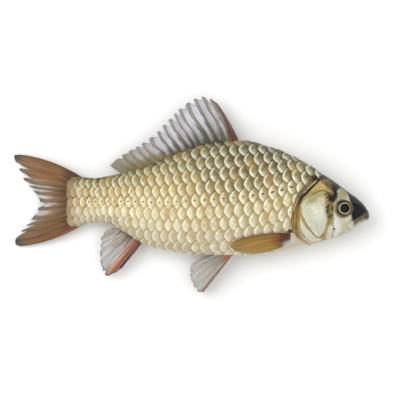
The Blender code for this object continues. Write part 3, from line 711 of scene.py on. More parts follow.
HEAD_LINES = {
    # A painted highlight along the gill plate's lower edge.
    "plate_edge_highlight": (
        "#f2e5c8", 0.45, 0.4, 0.9, [(53.9, -8.5), (55.8, -13.5), (59.8, -19.2), (63.4, -23.6), (65.6, -25.0), (67.8, -23.2)]
    ),
    "under_plate": (
        "#75623a", 0.45, 0.6, 0.75, [(52.7, -8.5), (54.4, -13.8), (58.6, -19.9), (62.6, -24.8), (65.6, -26.4), (69, -24.0)]
    ),
    # Painted shade in the groove along the top of the gill plate.
    "plate_groove_shade": ("#33290f", 0.55, 0.9, 0.9, [(60.6, 3.0), (63, 4.2), (66.5, 5.6), (70.6, 5.2), (73, 2.6)]),
    "band_line": ("#64552f", 0.45, 0.6, 0.85, [(72.6, -14.5), (71.7, -18), (71.4, -22), (70.6, -27)]),
    # Painted shadow under the gill cover's edge, along the front of the membrane: dark above, tan lower down.
    "cover_edge_shadow": ("#1d150c", 0.85, 0.8, 0.97, [(63.8, 11.4), (61.0, 8.4), (57.6, 4.4), (54.2, 0.6), (52.0, -3.6)]),
    "cover_edge_shadow_low": ("#6b5529", 0.5, 0.8, 0.85, [(52.2, -3.6), (51.4, -9), (51.4, -15), (52.6, -21), (56, -26.4)]),
    # Painted highlights on the membrane's folds, high and low.
    "upper_membrane_highlight": ("#e8cfac", 0.85, 0.5, 0.97, [(63.6, 12.6), (60.2, 9.6), (57.2, 7.0), (55.0, 4.6)]),
    "lower_membrane_highlight": ("#e0c39a", 0.5, 0.4, 0.95, [(51.2, 0.4), (49.9, -2.0), (48.5, -5.4), (48.2, -8.4)]),
    "seam": ("#463a20", 0.4, 0.5, 0.95, SUTURE),
    # Painted shade in the crease of the mouth.
    "mouth_crease_shade": ("#2a1d14", 0.45, 0.4, 0.9, [(90.2, -16.4), (92.4, -14.9), (95.4, -13.6)]),
    "chin_line": ("#8f8468", 0.4, 0.8, 0.6, JAW_LINE)
}


def head_place(u, v):
    up, side = round_the_body(v)
    rear = np.full(len(u), 57.0)
    for _ in range(8):
        above, below = limits(rear)
        rear = gill_x(flank(rear, below + up * (above - below))[:, 1]) - 6.0
    share = np.interp(u, [0, 0.10, 0.32, 0.90, 1], [0, 0.06, 0.19, 0.93, 1])
    x = rear + (SNOUT_X - rear) * share
    above, below = limits(x)
    d = below + up * (above - below)
    y = flank(x, d)[:, 1]
    lift, ahead, down, mouth = head_relief(x, y)
    tip = smoothstep((SNOUT_X - x) / 1.2)
    points = on_body(x, d, lift * tip, side)
    values = {name: np.clip(depth_inside(shape, x, y), -9, 9) for name, (*_, shape) in HEAD_ZONES.items()}
    values.update({name: np.clip(-run_distance(run, x, y)[0], -9, 0) for name, (*_, run) in HEAD_LINES.items()})
    low_on_head = 1 - smoothstep((y - 12) / 4)
    values["membrane"] = np.clip(0.5 + np.minimum(ahead + 0.2, membrane_width(down) - ahead) / 1.4, 0, 1) * low_on_head
    # Painted shade in the mouth's slit.
    values["slit"] = np.clip(1 - mouth / 0.55, 0, 1) * (x > 89)
    # Painted shade in the nostrils and in the small pit on the cheek.
    values["pit_shade"] = np.clip(1.3 - np.min([np.hypot(x - p, y - q) for p, q in PITS], axis=0) / 0.9, 0, 1)
    values["down"] = down
    values["ahead"] = ahead / 10
    values["gill_shadow"] = np.clip(1 - (ahead + 1.6) / 1.6, 0, 1)
    return points, values


PITS = [*NOSTRILS, (76.6, -20.8)]
head = grid_sheet("head", 136, 264, head_place)

# %% [markdown]
# ## Eyes
# A fish's eye is a flattened ball with no lids that close: a round black pupil, a bright thin ring round it, and a
# broad iris of dull gold. A fine ball is set where the solid's eye is, and its points keep their distance from the
# pupil's middle, which the material turns into rings. A fold of skin makes the rim.

# %% Eyes and their rims
PUPIL, PUPIL_RADIUS, PUPIL_LIFT = (83.8, -6.45), 3.1, 0.35
IRIS, IRIS_HALF = (82.5, -6.75), (6.2, 6.8)
RIM_RADIUS, RIM_HALF_WIDTH, RIM_HALF_HEIGHT, RIM_HEIGHT = 6.15, 0.5, 0.55, 1.25
RING, EYE_SPAN = 0.1, 16  # the torus's own minor radius, and the length that is one from end to end of a stored value


def eye_frame(side):
    """Where an eye sits: a matrix whose Z points out of the head."""
    step = 1.5
    x, d = EYE[0], float(chart_distance(*EYE)[0])
    spots = flank([x, x + step, x - step, x, x], [d, d, d, d + step, d - step])
    here, front, rear, above, below = (Vector(p) for p in laid_down(spots[:, 0], spots[:, 1], side * spots[:, 2]))
    outward = (front - rear).cross(above - below).normalized() * side
    outward = outward.lerp(Vector((0, 0, side)), EYE_FACES_SIDEWAYS).normalized()
    centre = here + outward * (EYE_STANDS_OUT - EYE_HALF_DEPTH)
    return Matrix.Translation(centre) @ outward.to_track_quat("Z", "Y").to_matrix().to_4x4()


def placed(piece, matrix, points):
    rotation, shift = np.array(matrix.to_3x3()), np.array(matrix.translation)
    put_points(piece, points @ rotation.T + shift)


def eyeball(name, side):
    deselect()
    bpy.ops.mesh.primitive_uv_sphere_add(segments=72, ring_count=48, radius=1)
    ball = bpy.context.active_object
    ball.name = ball.data.name = name
    local = points_of(ball)
    out = np.hypot(local[:, 0], local[:, 1]) * EYE_RADIUS
    proud = np.where(local[:, 2] > 0, PUPIL_LIFT * smoothstep((PUPIL_RADIUS + 1 - out) / 1.5), 0)
    placed(
        ball, eye_frame(side),
        np.column_stack([local[:, 0] * EYE_RADIUS, local[:, 1] * EYE_RADIUS, local[:, 2] * EYE_HALF_DEPTH + proud])
    )
    x, y, _ = (points_of(ball) / MM).T
    keep_values(ball, {
        "from_pupil": np.hypot(x - PUPIL[0], y - PUPIL[1]) / 10,
        "iris_edge": np.hypot((x - IRIS[0]) / IRIS_HALF[0], (y - IRIS[1]) / IRIS_HALF[1]) / 2,
        "eye_height": (y - IRIS[1]) / EYE_SPAN + 0.5,
    })
    bpy.ops.object.shade_smooth()
    return ball


def eye_rim(name, side):
    """The golden fold of skin round the eye."""
    deselect()
    bpy.ops.mesh.primitive_torus_add(major_segments=64, minor_segments=12, major_radius=1, minor_radius=RING)
    rim = bpy.context.active_object
    rim.name = rim.data.name = name
    local = points_of(rim)
    turn = np.arctan2(local[:, 1], local[:, 0])
    radius = RIM_RADIUS + (np.hypot(local[:, 0], local[:, 1]) - 1) * RIM_HALF_WIDTH / RING
    placed(
        rim, eye_frame(side),
        np.column_stack([radius * np.cos(turn), radius * np.sin(turn), RIM_HEIGHT + local[:, 2] * RIM_HALF_HEIGHT / RING])
    )
    x, y, _ = (points_of(rim) / MM).T
    keep_values(rim, {"eye_height": (y - IRIS[1]) / EYE_SPAN + 0.5, "to_snout": (x - IRIS[0]) / EYE_SPAN + 0.5})
    bpy.ops.object.shade_smooth()
    return rim


eyes = [eyeball("eyeball_right", 1), eyeball("eyeball_left", -1)]
rims = [eye_rim("eye_rim_right", 1), eye_rim("eye_rim_left", -1)]

# %% [markdown]
# ## Fins
# A fin is skin so thin that light comes through, stretched over a fan of jointed rays which branch towards the free
# edge. A grid is folded once round the tip, so that it has two faces, and spread over the fan. Rays are ridges on
# it, the skin sags between them, and the free edge is frayed.

# %% The fans
DORSAL_ROOT = [(11.0, 38.0), (-12.0, 36.3), (-42.0, 26.2), (-57.0, 19.6), (-70.0, 16.4)]
DORSAL_EDGE = [(-5.3, 67.5), (-12.3, 71.9), (-18.3, 72.3), (-31.0, 65.0), (-52.2, 43.8), (-72.5, 31.2), (-81.1, 23.6)]
TAIL_ROOT = [(-97.5, 13.2), (-104.0, 10.2), (-107.5, -2.0), (-104.0, -14.2), (-98.5, -17.0)]
TAIL_EDGE = [
    (-141.0, 31.0), (-146.9, 31.4), (-149.2, 29.1), (-142.3, 13.6), (-134.0, 3.5), (-130.9, -2.3), (-133.6, -9.5),
    (-142.3, -20.5), (-147.4, -25.9), (-148.5, -31.5), (-145.4, -33.3), (-140.0, -32.8)
]
ANAL_ROOT = [(-57.4, -30.0), (-63.0, -26.0), (-68.5, -22.6), (-74.5, -18.4)]
ANAL_EDGE = [(-72.9, -49.0), (-79.6, -53.4), (-84.3, -54.0), (-88.2, -45.0), (-88.0, -32.4), (-87.4, -26.6), (-84.5, -22.9)]
PELVIC_ROOT = [(6.4, -38.0), (2.4, -37.4), (-2.4, -37.4), (-7.6, -38.0)]
PELVIC_EDGE = [(-15.2, -65.8), (-19.2, -65.6), (-24.2, -56.7), (-24.0, -47.0), (-15.4, -40.9)]
PECTORAL_ROOT = [(47.6, -24.4), (47.4, -27.4), (46.0, -30.0), (43.4, -32.4)]
PECTORAL_EDGE = [(7.8, -29.0), (3.6, -31.6), (5.6, -35.8), (17.0, -39.0), (30.0, -37.4)]
PECTORAL_CLEAR = 0.13
DORSAL_BOW, TAIL_BOW, PECTORAL_BOW = (-0.03, 0.03), (-0.055, 0.055), (-0.06, 0.02)
RAY_ROOT, RAY_TIP, WEB = 1.1, 0.42, 0.24
TOOTH_AHEAD, TOOTH_FLAT = 0.25, 0.3
SPACING_WIDE, SPACING_CLOSE, SWING = 0.14, 0.08, 0.16  # how unevenly rays are spaced, and how far one waves, in spaces
# Where the painted shadow beside each ray lies and how wide it is, in spaces between rays; JOINTS sets how close a
# ray's joints are.
RAY_SHADOW_AT, RAY_SHADOW_WIDTH, JOINTS = 0.24, 0.18, 90


def median_fin_height(droop):
    return lambda x, y, reach: median_height(x) - droop * reach**2


def pelvic_height(side):
    return lambda x, y, reach: MEDIAN_HEIGHT + side * (3.4 - 1.4 * reach) - (4.0 + 5.0 * (side < 0)) * reach**1.5


def pectoral_height(side):
    """It leaves the flank behind the gill opening and lies back along it."""
    def height(x, y, reach):
        skin = flank(x, chart_distance(x, y))
        out = side * (skin[:, 2] - 1.6 + 3.5 * np.minimum(1, reach / PECTORAL_CLEAR) + 0.5 * reach)
        return np.maximum(laid_down(x, y, out)[:, 2], 0.75)
    return height


def fin(
    name, root, edge, rays, height, bow=(0.0, 0.0), notch=0.03, steps=(0.0, 0.0), whole=0.0, fork=0.1, band=1.0, seed=1, rows=44,
    per_ray=14, sag=0.22
):
    """A fan of branching rays with thin skin between them, as one closed piece. Notch is the depth of small tears in
    the free edge. Steps is how deep the teeth are that it is split into, in the first half of the fan and in the
    last: below 0 a tooth slants away from the first ray, above 0 towards it. Whole is the share of the edge with no
    cut at its ends, and band widens the rays."""
    uneven = random.Random(seed)
    cuts = np.array([notch * uneven.uniform(0.3, 1.7) for _ in range(rays)])
    teeth = np.array([uneven.uniform(0.3, 1.7) for _ in range(rays)])
    tips = np.array([notch * uneven.uniform(0, 0.6) for _ in range(rays + 1)])
    web_tones = np.array([uneven.uniform(0, 1) for _ in range(rays)])
    wave = uneven.uniform(0, 2 * math.pi)
    root_run, edge_run = smooth_run(root), smooth_run(edge)

    def place(u, v):
        reach, face = round_the_body(v)
        phase = u * (rays - 1) + SPACING_WIDE * np.sin(5 * math.pi * u) + SPACING_CLOSE * np.sin(11 * math.pi * u)
        web = np.clip(phase.astype(int), 0, rays - 2)
        at_edge = np.round(phase).astype(int)
        middle_of_web = smoothstep((np.abs(phase - at_edge) - 0.1) / 0.38)
        step = np.where(u < 0.5, steps[0], steps[1])
        toothed = phase * -np.sign(step) + TOOTH_AHEAD
        tooth = np.floor(toothed).astype(int) % rays
        back = np.clip((toothed % 1 - TOOTH_FLAT) / (0.9 - TOOTH_FLAT), 0, 1) * smoothstep((1 - toothed % 1) / 0.1)
        cut = cuts[web] * middle_of_web + tips[at_edge] * (1 - middle_of_web) + np.abs(step) * teeth[tooth] * back
        cut += notch * 0.25 * (np.sin(phase * 9 + wave) + 0.6 * np.sin(phase * 21 + wave))
        cut = np.maximum(cut, 0) * smoothstep((np.minimum(u, 1 - u) - whole) * 3 * rays)
        start, end = along(root_run, u), along(edge_run, u)
        chord = (end - start) * (1 - cut)[:, None]
        across = np.stack([-chord[:, 1], chord[:, 0]], axis=-1) * np.interp(u, (0, 1), bow)[:, None]
        line = start + chord * reach[:, None] + across * (4 * reach * (1 - reach))[:, None]
        swing = SWING * np.sin(2 * math.pi * reach) * smoothstep(np.minimum(u, 1 - u) * rays)
        near = np.clip(np.round(phase + swing).astype(int), 0, rays - 1)
        off = phase + swing - near
        spread_fork, twig = fork * smoothstep((reach - 0.30) / 0.5), 0.4 * fork * smoothstep((reach - 0.62) / 0.3)
        width = band * (0.19 - 0.09 * smoothstep((reach - 0.10) / 0.6))
        ray = np.max([bump(off - a * spread_fork - b * twig, width) for a in (-1, 1) for b in (-1, 1)], axis=0)
        thick = WEB + ray * (RAY_ROOT + (RAY_TIP - RAY_ROOT) * reach - WEB)
        pinch = smoothstep(np.minimum(u, 1 - u) * 3 * rays) * smoothstep(reach / 0.04) * smoothstep((1 - reach) / 0.05)
        middle = height(line[:, 0], line[:, 1], reach) + sag * (np.cos(2 * math.pi * off) - 1) * smoothstep(reach / 0.3)
        middle = np.maximum(middle, thick / 2 + 0.05)
        points = np.column_stack([line, middle + face * thick * pinch / 2])
        joints = (0.5 + 0.5 * np.sin(reach * JOINTS + near * 1.7)) * smoothstep((reach - 0.3) / 0.2)
        # Painted shadow on the web beside each ray, from the root out to a reach that differs from web to web.
        ray_shadow = bump(off - RAY_SHADOW_AT, RAY_SHADOW_WIDTH) * (1 - smoothstep((reach - 0.10 - 0.35 * web_tones[web]) / 0.3))
        return points, {
            "reach": reach, "share": u, "ray": ray, "joints": joints, "stem": bump(off, 0.16), "ray_shadow": ray_shadow,
            "web_tone": web_tones[web], "torn_edge": np.clip(1 - (1 - reach) * np.hypot(*chord.T) / 3, 0, 1)
        }

    return grid_sheet(name, (rays - 1) * per_ray, 2 * rows, place)


dorsal = fin(
    "dorsal_fin", DORSAL_ROOT, DORSAL_EDGE, 17, median_fin_height(2.5), bow=DORSAL_BOW, notch=0.03, steps=(0.15, 0.15),
    whole=0.07, band=0.65, seed=2, per_ray=18
)
tail = fin(
    "tail_fin", TAIL_ROOT, TAIL_EDGE, 15, median_fin_height(0.0), bow=TAIL_BOW, notch=0.025, steps=(-0.16, 0.16), whole=0.13,
    fork=0.03, band=2.4, seed=3, per_ray=22
)
anal = fin(
    "anal_fin", ANAL_ROOT, ANAL_EDGE, 9, median_fin_height(2.5), notch=0.03, steps=(0.02, 0.06), fork=0.16, seed=4, rows=34
)
pelvics = [
    fin(
        f"pelvic_fin_{n}", PELVIC_ROOT, PELVIC_EDGE, 9, pelvic_height(s), notch=0.03, steps=(0.0, 0.05), fork=0.16,
        seed=5 + (s < 0), rows=34
    ) for n,
    s in (("right", 1), ("left", -1))
]
pectorals = [
    fin(
        f"pectoral_fin_{n}", PECTORAL_ROOT, PECTORAL_EDGE, 11, pectoral_height(s), bow=PECTORAL_BOW, notch=0.02, fork=0.16,
        seed=7 + (s < 0), rows=34, sag=0.12
    ) for n,
    s in (("right", 1), ("left", -1))
]

# %% [markdown]
# ## Scale material
# A scale is a clear bony plate over silvery skin, wet and slippery. Its free edge is a cream crescent of pale pigment
# with a painted highlight on it, and high on the flank its lower side is painted lighter, as if lit; its middle is
# grey-olive high on the flank and warm cream low, and the part next to the scale in front is dark, partly pigment and
# partly painted shade under that scale's edge.
# The chart on each scale gives where on it a point is, and the height on the flank picks the colours.

# %% Wet scales
def wandering(material, value, noise, amount):
    """A value pushed up and down by noise, so that a border drawn from it wanders."""
    centred = add(material, "Math", {0: noise, 1: 0.5}, operation="SUBTRACT").outputs[0]
    push = add(material, "Math", {0: centred, 1: amount}, operation="MULTIPLY").outputs[0]
    return add(material, "Math", {0: value, 1: push}, operation="ADD").outputs[0]


wet_scales = new_material("wet_scale", Metallic=0.05, Coat_Weight=0.06, Coat_Roughness=0.25, IOR=1.32)
m = wet_scales
on_object = add(m, "TexCoord").outputs["Object"]
unit = add(
    m, "VectorMath", {0: add(m, "UVMap", uv_map="scale_face").outputs[0], 1: (2, 2, 0), 2: (-1, -1, 0)}, operation="MULTIPLY_ADD"
).outputs[0]
outward = add(m, "VectorMath", {0: unit}, operation="LENGTH").outputs["Value"]
parts = add(m, "SeparateXYZ", {0: unit})
forward, upward = parts.outputs[0], parts.outputs[1]
height, along_body, chance = (
    add(m, "Attribute", attribute_name=name, attribute_type="GEOMETRY").outputs["Fac"] for name in ("height", "along", "chance")
)
patches = add(m, "TexNoise", {"Vector": on_object, "Scale": 1 / (4.0 * MM), "Detail": 3, "Roughness": 0.55}).outputs["Fac"]
grain = add(m, "TexNoise", {"Vector": on_object, "Scale": 1 / (0.9 * MM), "Detail": 3, "Roughness": 0.55}).outputs["Fac"]
spots = add(m, "TexNoise", {"Vector": on_object, "Scale": 1 / (2.2 * MM), "Detail": 3, "Roughness": 0.55}).outputs["Fac"]
mottle = add(m, "TexNoise", {"Vector": on_object, "Scale": 1 / (14 * MM), "Detail": 3, "Roughness": 0.55}).outputs["Fac"]
wavy = wandering(m, along_body, mottle, 0.2)
to_tail = add(m, "MapRange", {0: wavy, 1: 0.56, 2: 0.28}, interpolation_type="SMOOTHSTEP").outputs[0]

# %% Scale colours down the flank
# Dark root beside the scale in front: partly pigment, partly painted shade under that scale's edge.
rooted = add(
    m, "ValToRGB", {0: height},
    stops=[(0.0, "#c4b598"), (0.25, "#b5a373"), (0.45, "#a08b52"), (0.60, "#6f5e30"), (0.85, "#54492a"), (1.0, "#37311c")]
).outputs[0]
# All these ramps turn dark at the back ridge, and near the tail the face darkens at the belly keel too: the back's own
# colour with painted shade where the edges turn from the light.
face = add(
    m, "ValToRGB", {0: height},
    stops=[
        (0.0, "#e8dfcd"), (0.22, "#dbd3b8"), (0.38, "#e0d6ac"), (0.50, "#cfc498"), (0.60, "#8f865c"), (0.72, "#6a6545"),
        (0.88, "#7d7b5a"), (1.0, "#2e2b19")
    ]
).outputs[0]
tail_face = add(
    m, "ValToRGB", {0: height},
    stops=[
        (0.0, "#b7b096"), (0.16, "#cbc4a8"), (0.30, "#e6debf"), (0.48, "#f0e3b4"), (0.60, "#d3c080"), (0.75, "#b6a266"),
        (0.9, "#968954"), (1.0, "#4b4428")
    ]
).outputs[0]
tail_rooted = add(
    m, "ValToRGB", {0: height}, stops=[(0.0, "#bcab84"), (0.4, "#c2ad72"), (0.6, "#a38c50"), (0.85, "#7c6c3c"), (1.0, "#4c4426")]
).outputs[0]
# Pale pigment of the free edge with a painted highlight on it; the same colour paints light on the lower side of a
# scale.
crescent = add(
    m, "ValToRGB", {0: height},
    stops=[(0.0, "#ece2ca"), (0.25, "#f4eeda"), (0.5, "#fbf5de"), (0.7, "#efead0"), (0.9, "#d6d8c0"), (1.0, "#6c6b50")]
).outputs[0]
face = add(m, "Mix", {0: to_tail, 6: face, 7: tail_face}, data_type="RGBA").outputs[2]
rooted = add(m, "Mix", {0: to_tail, 6: rooted, 7: tail_rooted}, data_type="RGBA").outputs[2]
tone = add(m, "MapRange", {0: chance, 1: 0.0, 2: 1.0, 3: 0.80, 4: 1.06}, interpolation_type="SMOOTHSTEP").outputs[0]
face = add(m, "HueSaturation", {"Value": tone, "Color": face}).outputs[0]

# %% Crescent and bright edge with painted highlight, painted light on the lower side, dark root with painted shade
# The crescent along the free edge: pale pigment with a painted highlight.
amount = add(
    m, "MapRange", {0: wandering(m, outward, patches, 0.4), 1: 0.35, 2: 0.95, 3: 0.0, 4: 0.65}, interpolation_type="SMOOTHSTEP"
).outputs[0]
second_amount = add(m, "MapRange", {0: forward, 1: 0.35, 2: -0.55}, interpolation_type="SMOOTHSTEP").outputs[0]
fade = add(m, "Math", {0: amount, 1: second_amount}, operation="MULTIPLY").outputs[0]
body = add(m, "Mix", {0: fade, 6: face, 7: crescent}, data_type="RGBA").outputs[2]
# Painted light on the lower side of each scale, high on the flank.
amount = add(m, "MapRange", {0: wandering(m, upward, patches, 0.6), 1: 0.15, 2: -0.6}, interpolation_type="SMOOTHSTEP").outputs[0]
second_amount = add(m, "MapRange", {0: height, 1: 0.5, 2: 0.68, 3: 0.1, 4: 0.42}, interpolation_type="SMOOTHSTEP").outputs[0]
lower_side = add(m, "Math", {0: amount, 1: second_amount}, operation="MULTIPLY").outputs[0]
body = add(m, "Mix", {0: lower_side, 6: body, 7: crescent}, data_type="RGBA").outputs[2]
# Where the dark root lies, reaching furthest at the upper front: partly pigment, partly painted shade under the scale
# in front.
product = add(m, "Math", {0: upward, 1: upward}, operation="MULTIPLY").outputs[0]
second_product = add(m, "Math", {0: product, 1: 0.55}, operation="MULTIPLY").outputs[0]
third_product = add(m, "Math", {0: upward, 1: 0.30}, operation="MULTIPLY").outputs[0]
total = add(m, "Math", {0: second_product, 1: third_product}, operation="ADD").outputs[0]
second_total = add(m, "Math", {0: forward, 1: total}, operation="ADD").outputs[0]
front = wandering(m, second_total, patches, 1.0)
amount = add(m, "MapRange", {0: front, 1: -0.30, 2: 0.46, 3: 0.0, 4: 0.95}, interpolation_type="SMOOTHSTEP").outputs[0]
body = add(m, "Mix", {0: amount, 6: body, 7: rooted}, data_type="RGBA").outputs[2]
# A thin bright edge, strongest at the rear and lower side: pale pigment with a painted highlight.
amount = add(m, "MapRange", {0: wandering(m, outward, spots, 0.2), 1: 0.68, 2: 0.86}, interpolation_type="SMOOTHSTEP").outputs[0]
second_amount = add(m, "MapRange", {0: forward, 1: 0.05, 2: -0.5}, interpolation_type="SMOOTHSTEP").outputs[0]
edge = add(m, "Math", {0: amount, 1: second_amount}, operation="MULTIPLY").outputs[0]
amount = add(m, "MapRange", {0: upward, 1: 0.95, 2: 0.0, 3: 0.35, 4: 1.0}, interpolation_type="SMOOTHSTEP").outputs[0]
edge = add(m, "Math", {0: edge, 1: amount}, operation="MULTIPLY").outputs[0]
body = add(m, "Mix", {0: edge, 6: body, 7: crescent}, data_type="RGBA").outputs[2]

# %% Growth lines and spots of a scale
difference = add(m, "Math", {0: forward, 1: 0.5}, operation="SUBTRACT").outputs[0]
fan = add(m, "Math", {0: upward, 1: difference}, operation="ARCTAN2").outputs[0]
product = add(m, "Math", {0: outward, 1: 0.8}, operation="MULTIPLY").outputs[0]
second_product = add(m, "Math", {0: chance, 1: 40.0}, operation="MULTIPLY").outputs[0]
third_product = add(m, "Math", {0: fan, 1: 5.0}, operation="MULTIPLY").outputs[0]
fan_place = add(m, "CombineXYZ", {0: third_product, 1: product, 2: second_product}).outputs[0]
fan_lines = add(m, "TexNoise", {"Vector": fan_place, "Scale": 2.2, "Detail": 2}).outputs["Fac"]
mottle = add(m, "TexNoise", {"Vector": on_object, "Scale": 1 / (9 * MM), "Detail": 3, "Roughness": 0.55}).outputs["Fac"]
amount = add(m, "MapRange", {0: mottle, 1: 0.50, 2: 0.70, 3: 0.0, 4: 0.42}, interpolation_type="SMOOTHSTEP").outputs[0]
body = add(m, "Mix", {0: amount, 6: body, 7: "#c09a50"}, data_type="RGBA").outputs[2]
mottle = add(m, "TexNoise", {"Vector": on_object, "Scale": 1 / (3.1 * MM), "Detail": 3, "Roughness": 0.55}).outputs["Fac"]
amount = add(m, "MapRange", {0: mottle, 1: 0.56, 2: 0.72, 3: 0.0, 4: 0.40}, interpolation_type="SMOOTHSTEP").outputs[0]
body = add(m, "Mix", {0: amount, 6: body, 7: "#d0a478"}, data_type="RGBA").outputs[2]
mottle = add(m, "TexNoise", {"Vector": on_object, "Scale": 1 / (2.7 * MM), "Detail": 3, "Roughness": 0.55}).outputs["Fac"]
amount = add(m, "MapRange", {0: mottle, 1: 0.44, 2: 0.30, 3: 0.0, 4: 0.42}, interpolation_type="SMOOTHSTEP").outputs[0]
body = add(m, "Mix", {0: amount, 6: body, 7: "#98a084"}, data_type="RGBA").outputs[2]
mottle = add(m, "TexNoise", {"Vector": on_object, "Scale": 1 / (1.3 * MM), "Detail": 3, "Roughness": 0.55}).outputs["Fac"]
amount = add(m, "MapRange", {0: mottle, 1: 0.58, 2: 0.70, 3: 0.0, 4: 0.35}, interpolation_type="SMOOTHSTEP").outputs[0]
body = add(m, "Mix", {0: amount, 6: body, 7: "#7a6b40"}, data_type="RGBA").outputs[2]
amount = add(m, "MapRange", {0: along_body, 1: 0.075, 2: 0.0, 3: 0.0, 4: 0.8}, interpolation_type="SMOOTHSTEP").outputs[0]
body = add(m, "Mix", {0: amount, 6: body, 7: "#9a7f58"}, data_type="RGBA").outputs[2]

# %% Shade, gloss and relief of a scale
amount = add(m, "MapRange", {0: fan_lines, 1: 0.3, 2: 0.7, 3: 0.90, 4: 1.06}, interpolation_type="SMOOTHSTEP").outputs[0]
second_amount = add(m, "MapRange", {0: grain, 1: 0.25, 2: 0.75, 3: 0.88, 4: 1.08}, interpolation_type="SMOOTHSTEP").outputs[0]
shade = add(m, "Math", {0: second_amount, 1: amount}, operation="MULTIPLY").outputs[0]
amount = add(m, "MapRange", {0: patches, 1: 0.3, 2: 0.7, 3: 0.92, 4: 1.06}, interpolation_type="SMOOTHSTEP").outputs[0]
shade = add(m, "Math", {0: shade, 1: amount}, operation="MULTIPLY").outputs[0]
body = add(m, "HueSaturation", {"Value": shade, "Color": body}).outputs[0]
amount = add(m, "MapRange", {0: grain, 1: 0.2, 2: 0.8, 3: 0.32, 4: 0.52}, interpolation_type="SMOOTHSTEP").outputs[0]
drive(m, Base_Color=body, Roughness=amount)
product = add(m, "Math", {0: outward, 1: 46}, operation="MULTIPLY").outputs[0]
rings = add(m, "Math", {0: product, 1: 0}, operation="SINE").outputs[0]
total = add(m, "Math", {0: rings, 1: fan_lines}, operation="ADD").outputs[0]
product = add(m, "Math", {0: total, 1: 0.3}, operation="MULTIPLY").outputs[0]
second_total = add(m, "Math", {0: grain, 1: product}, operation="ADD").outputs[0]
relief = add(m, "Bump", {"Strength": 0.3, "Distance": 0.2 * MM, "Height": second_total})
drive(m, Normal=relief.outputs[0])
fit(scales_right, wet_scales, "fish")
fit(scales_left, wet_scales, "fish")

# %% [markdown]
# The skin below the scales and the pores are thin and moist. Both are mixed from two browns by fine noise.

# %% Skin under the scales, and pores
under_skin = new_material("skin_under_scales", IOR=1.36)
m = under_skin
on_object = add(m, "TexCoord").outputs["Object"]
blots = add(m, "TexNoise", {"Vector": on_object, "Scale": 1 / (2.2 * MM), "Detail": 3, "Roughness": 0.55}).outputs["Fac"]
stored = add(m, "Attribute", attribute_name="height", attribute_type="GEOMETRY").outputs["Fac"]
colour = add(
    m, "ValToRGB", {0: stored}, stops=[(0.0, "#a3906c"), (0.3, "#8d7a4e"), (0.7, "#4c3f24"), (1.0, "#37301c")]
).outputs[0]
amount = add(m, "MapRange", {0: blots, 1: 0.3, 2: 0.7}, interpolation_type="SMOOTHSTEP").outputs[0]
colour = add(m, "Mix", {0: amount, 6: colour, 7: "#776a48"}, data_type="RGBA").outputs[2]
# Pale chest, pale patch and brown tail end are the skin's own colours; the dark spot above the pectoral fin's root is
# painted shadow.
for name, wander, code in (
    ("chest", 0.5, "#cdbca0"), ("pale_patch", 0.5, "#c6c3b8"), ("pectoral_armpit_shadow", 0.5, "#4a3f28"), ("tail_end", 0.6, "#6e4c36")
):
    wavy = wandering(m, add(m, "Attribute", attribute_name=name, attribute_type="GEOMETRY").outputs["Fac"], blots, wander)
    amount = add(m, "MapRange", {0: wavy, 1: 0.3, 2: 0.7}, interpolation_type="SMOOTHSTEP").outputs[0]
    colour = add(m, "Mix", {0: amount, 6: colour, 7: code}, data_type="RGBA").outputs[2]
mottle = add(m, "TexNoise", {"Vector": on_object, "Scale": 1 / (0.9 * MM), "Detail": 3, "Roughness": 0.55}).outputs["Fac"]
amount = add(m, "MapRange", {0: mottle, 1: 0.25, 2: 0.75, 3: 0.9, 4: 1.08}, interpolation_type="SMOOTHSTEP").outputs[0]
colour = add(m, "HueSaturation", {"Value": amount, "Color": colour}).outputs[0]
mottle = add(m, "TexNoise", {"Vector": on_object, "Scale": 1 / (1.0 * MM), "Detail": 3, "Roughness": 0.55}).outputs["Fac"]
amount = add(m, "MapRange", {0: mottle, 1: 0.2, 2: 0.8, 3: 0.35, 4: 0.55}, interpolation_type="SMOOTHSTEP").outputs[0]
drive(m, Base_Color=colour, Roughness=amount)
fit(trunk_skin, under_skin, "fish")

pore_skin = new_material("pore", IOR=1.36, Roughness=0.5)
m = pore_skin
on_object = add(m, "TexCoord").outputs["Object"]
mottle = add(m, "TexNoise", {"Vector": on_object, "Scale": 1 / (0.9 * MM), "Detail": 3, "Roughness": 0.55}).outputs["Fac"]
amount = add(m, "MapRange", {0: mottle, 1: 0.35, 2: 0.65}, interpolation_type="SMOOTHSTEP").outputs[0]
blend = add(m, "Mix", {0: amount, 6: "#1c150d", 7: "#453620"}, data_type="RGBA").outputs[2]
drive(m, Base_Color=blend)
fit(line_pores, pore_skin, "fish")

# %% [markdown]
# ## Head skin
# The zones are laid over a pale mottled cheek, one after the other. Noise is added to each zone's depth before it is
# turned into a share, so its border wanders as pigment does. Mucus makes it glossy.

# %% Wet head skin
head_skin = new_material("wet_head_skin", IOR=1.30, Coat_Weight=0.04, Coat_Roughness=0.2)
m = head_skin
on_object = add(m, "TexCoord").outputs["Object"]
blots = add(m, "TexNoise", {"Vector": on_object, "Scale": 1 / (3.2 * MM), "Detail": 3, "Roughness": 0.55}).outputs["Fac"]
specks = add(m, "TexNoise", {"Vector": on_object, "Scale": 1 / (0.8 * MM), "Detail": 3, "Roughness": 0.55}).outputs["Fac"]
product = add(m, "Math", {0: specks, 1: 0.35}, operation="MULTIPLY").outputs[0]
second_product = add(m, "Math", {0: blots, 1: 0.65}, operation="MULTIPLY").outputs[0]
both = add(m, "Math", {0: second_product, 1: product}, operation="ADD").outputs[0]
slanted = add(
    m, "Mapping", {"Vector": on_object, "Rotation": (0, 0, math.radians(-42)), "Scale": (1, 6, 1)}, vector_type="TEXTURE"
).outputs[0]
comb = add(m, "TexNoise", {"Vector": slanted, "Scale": 950, "Detail": 2}).outputs["Fac"]
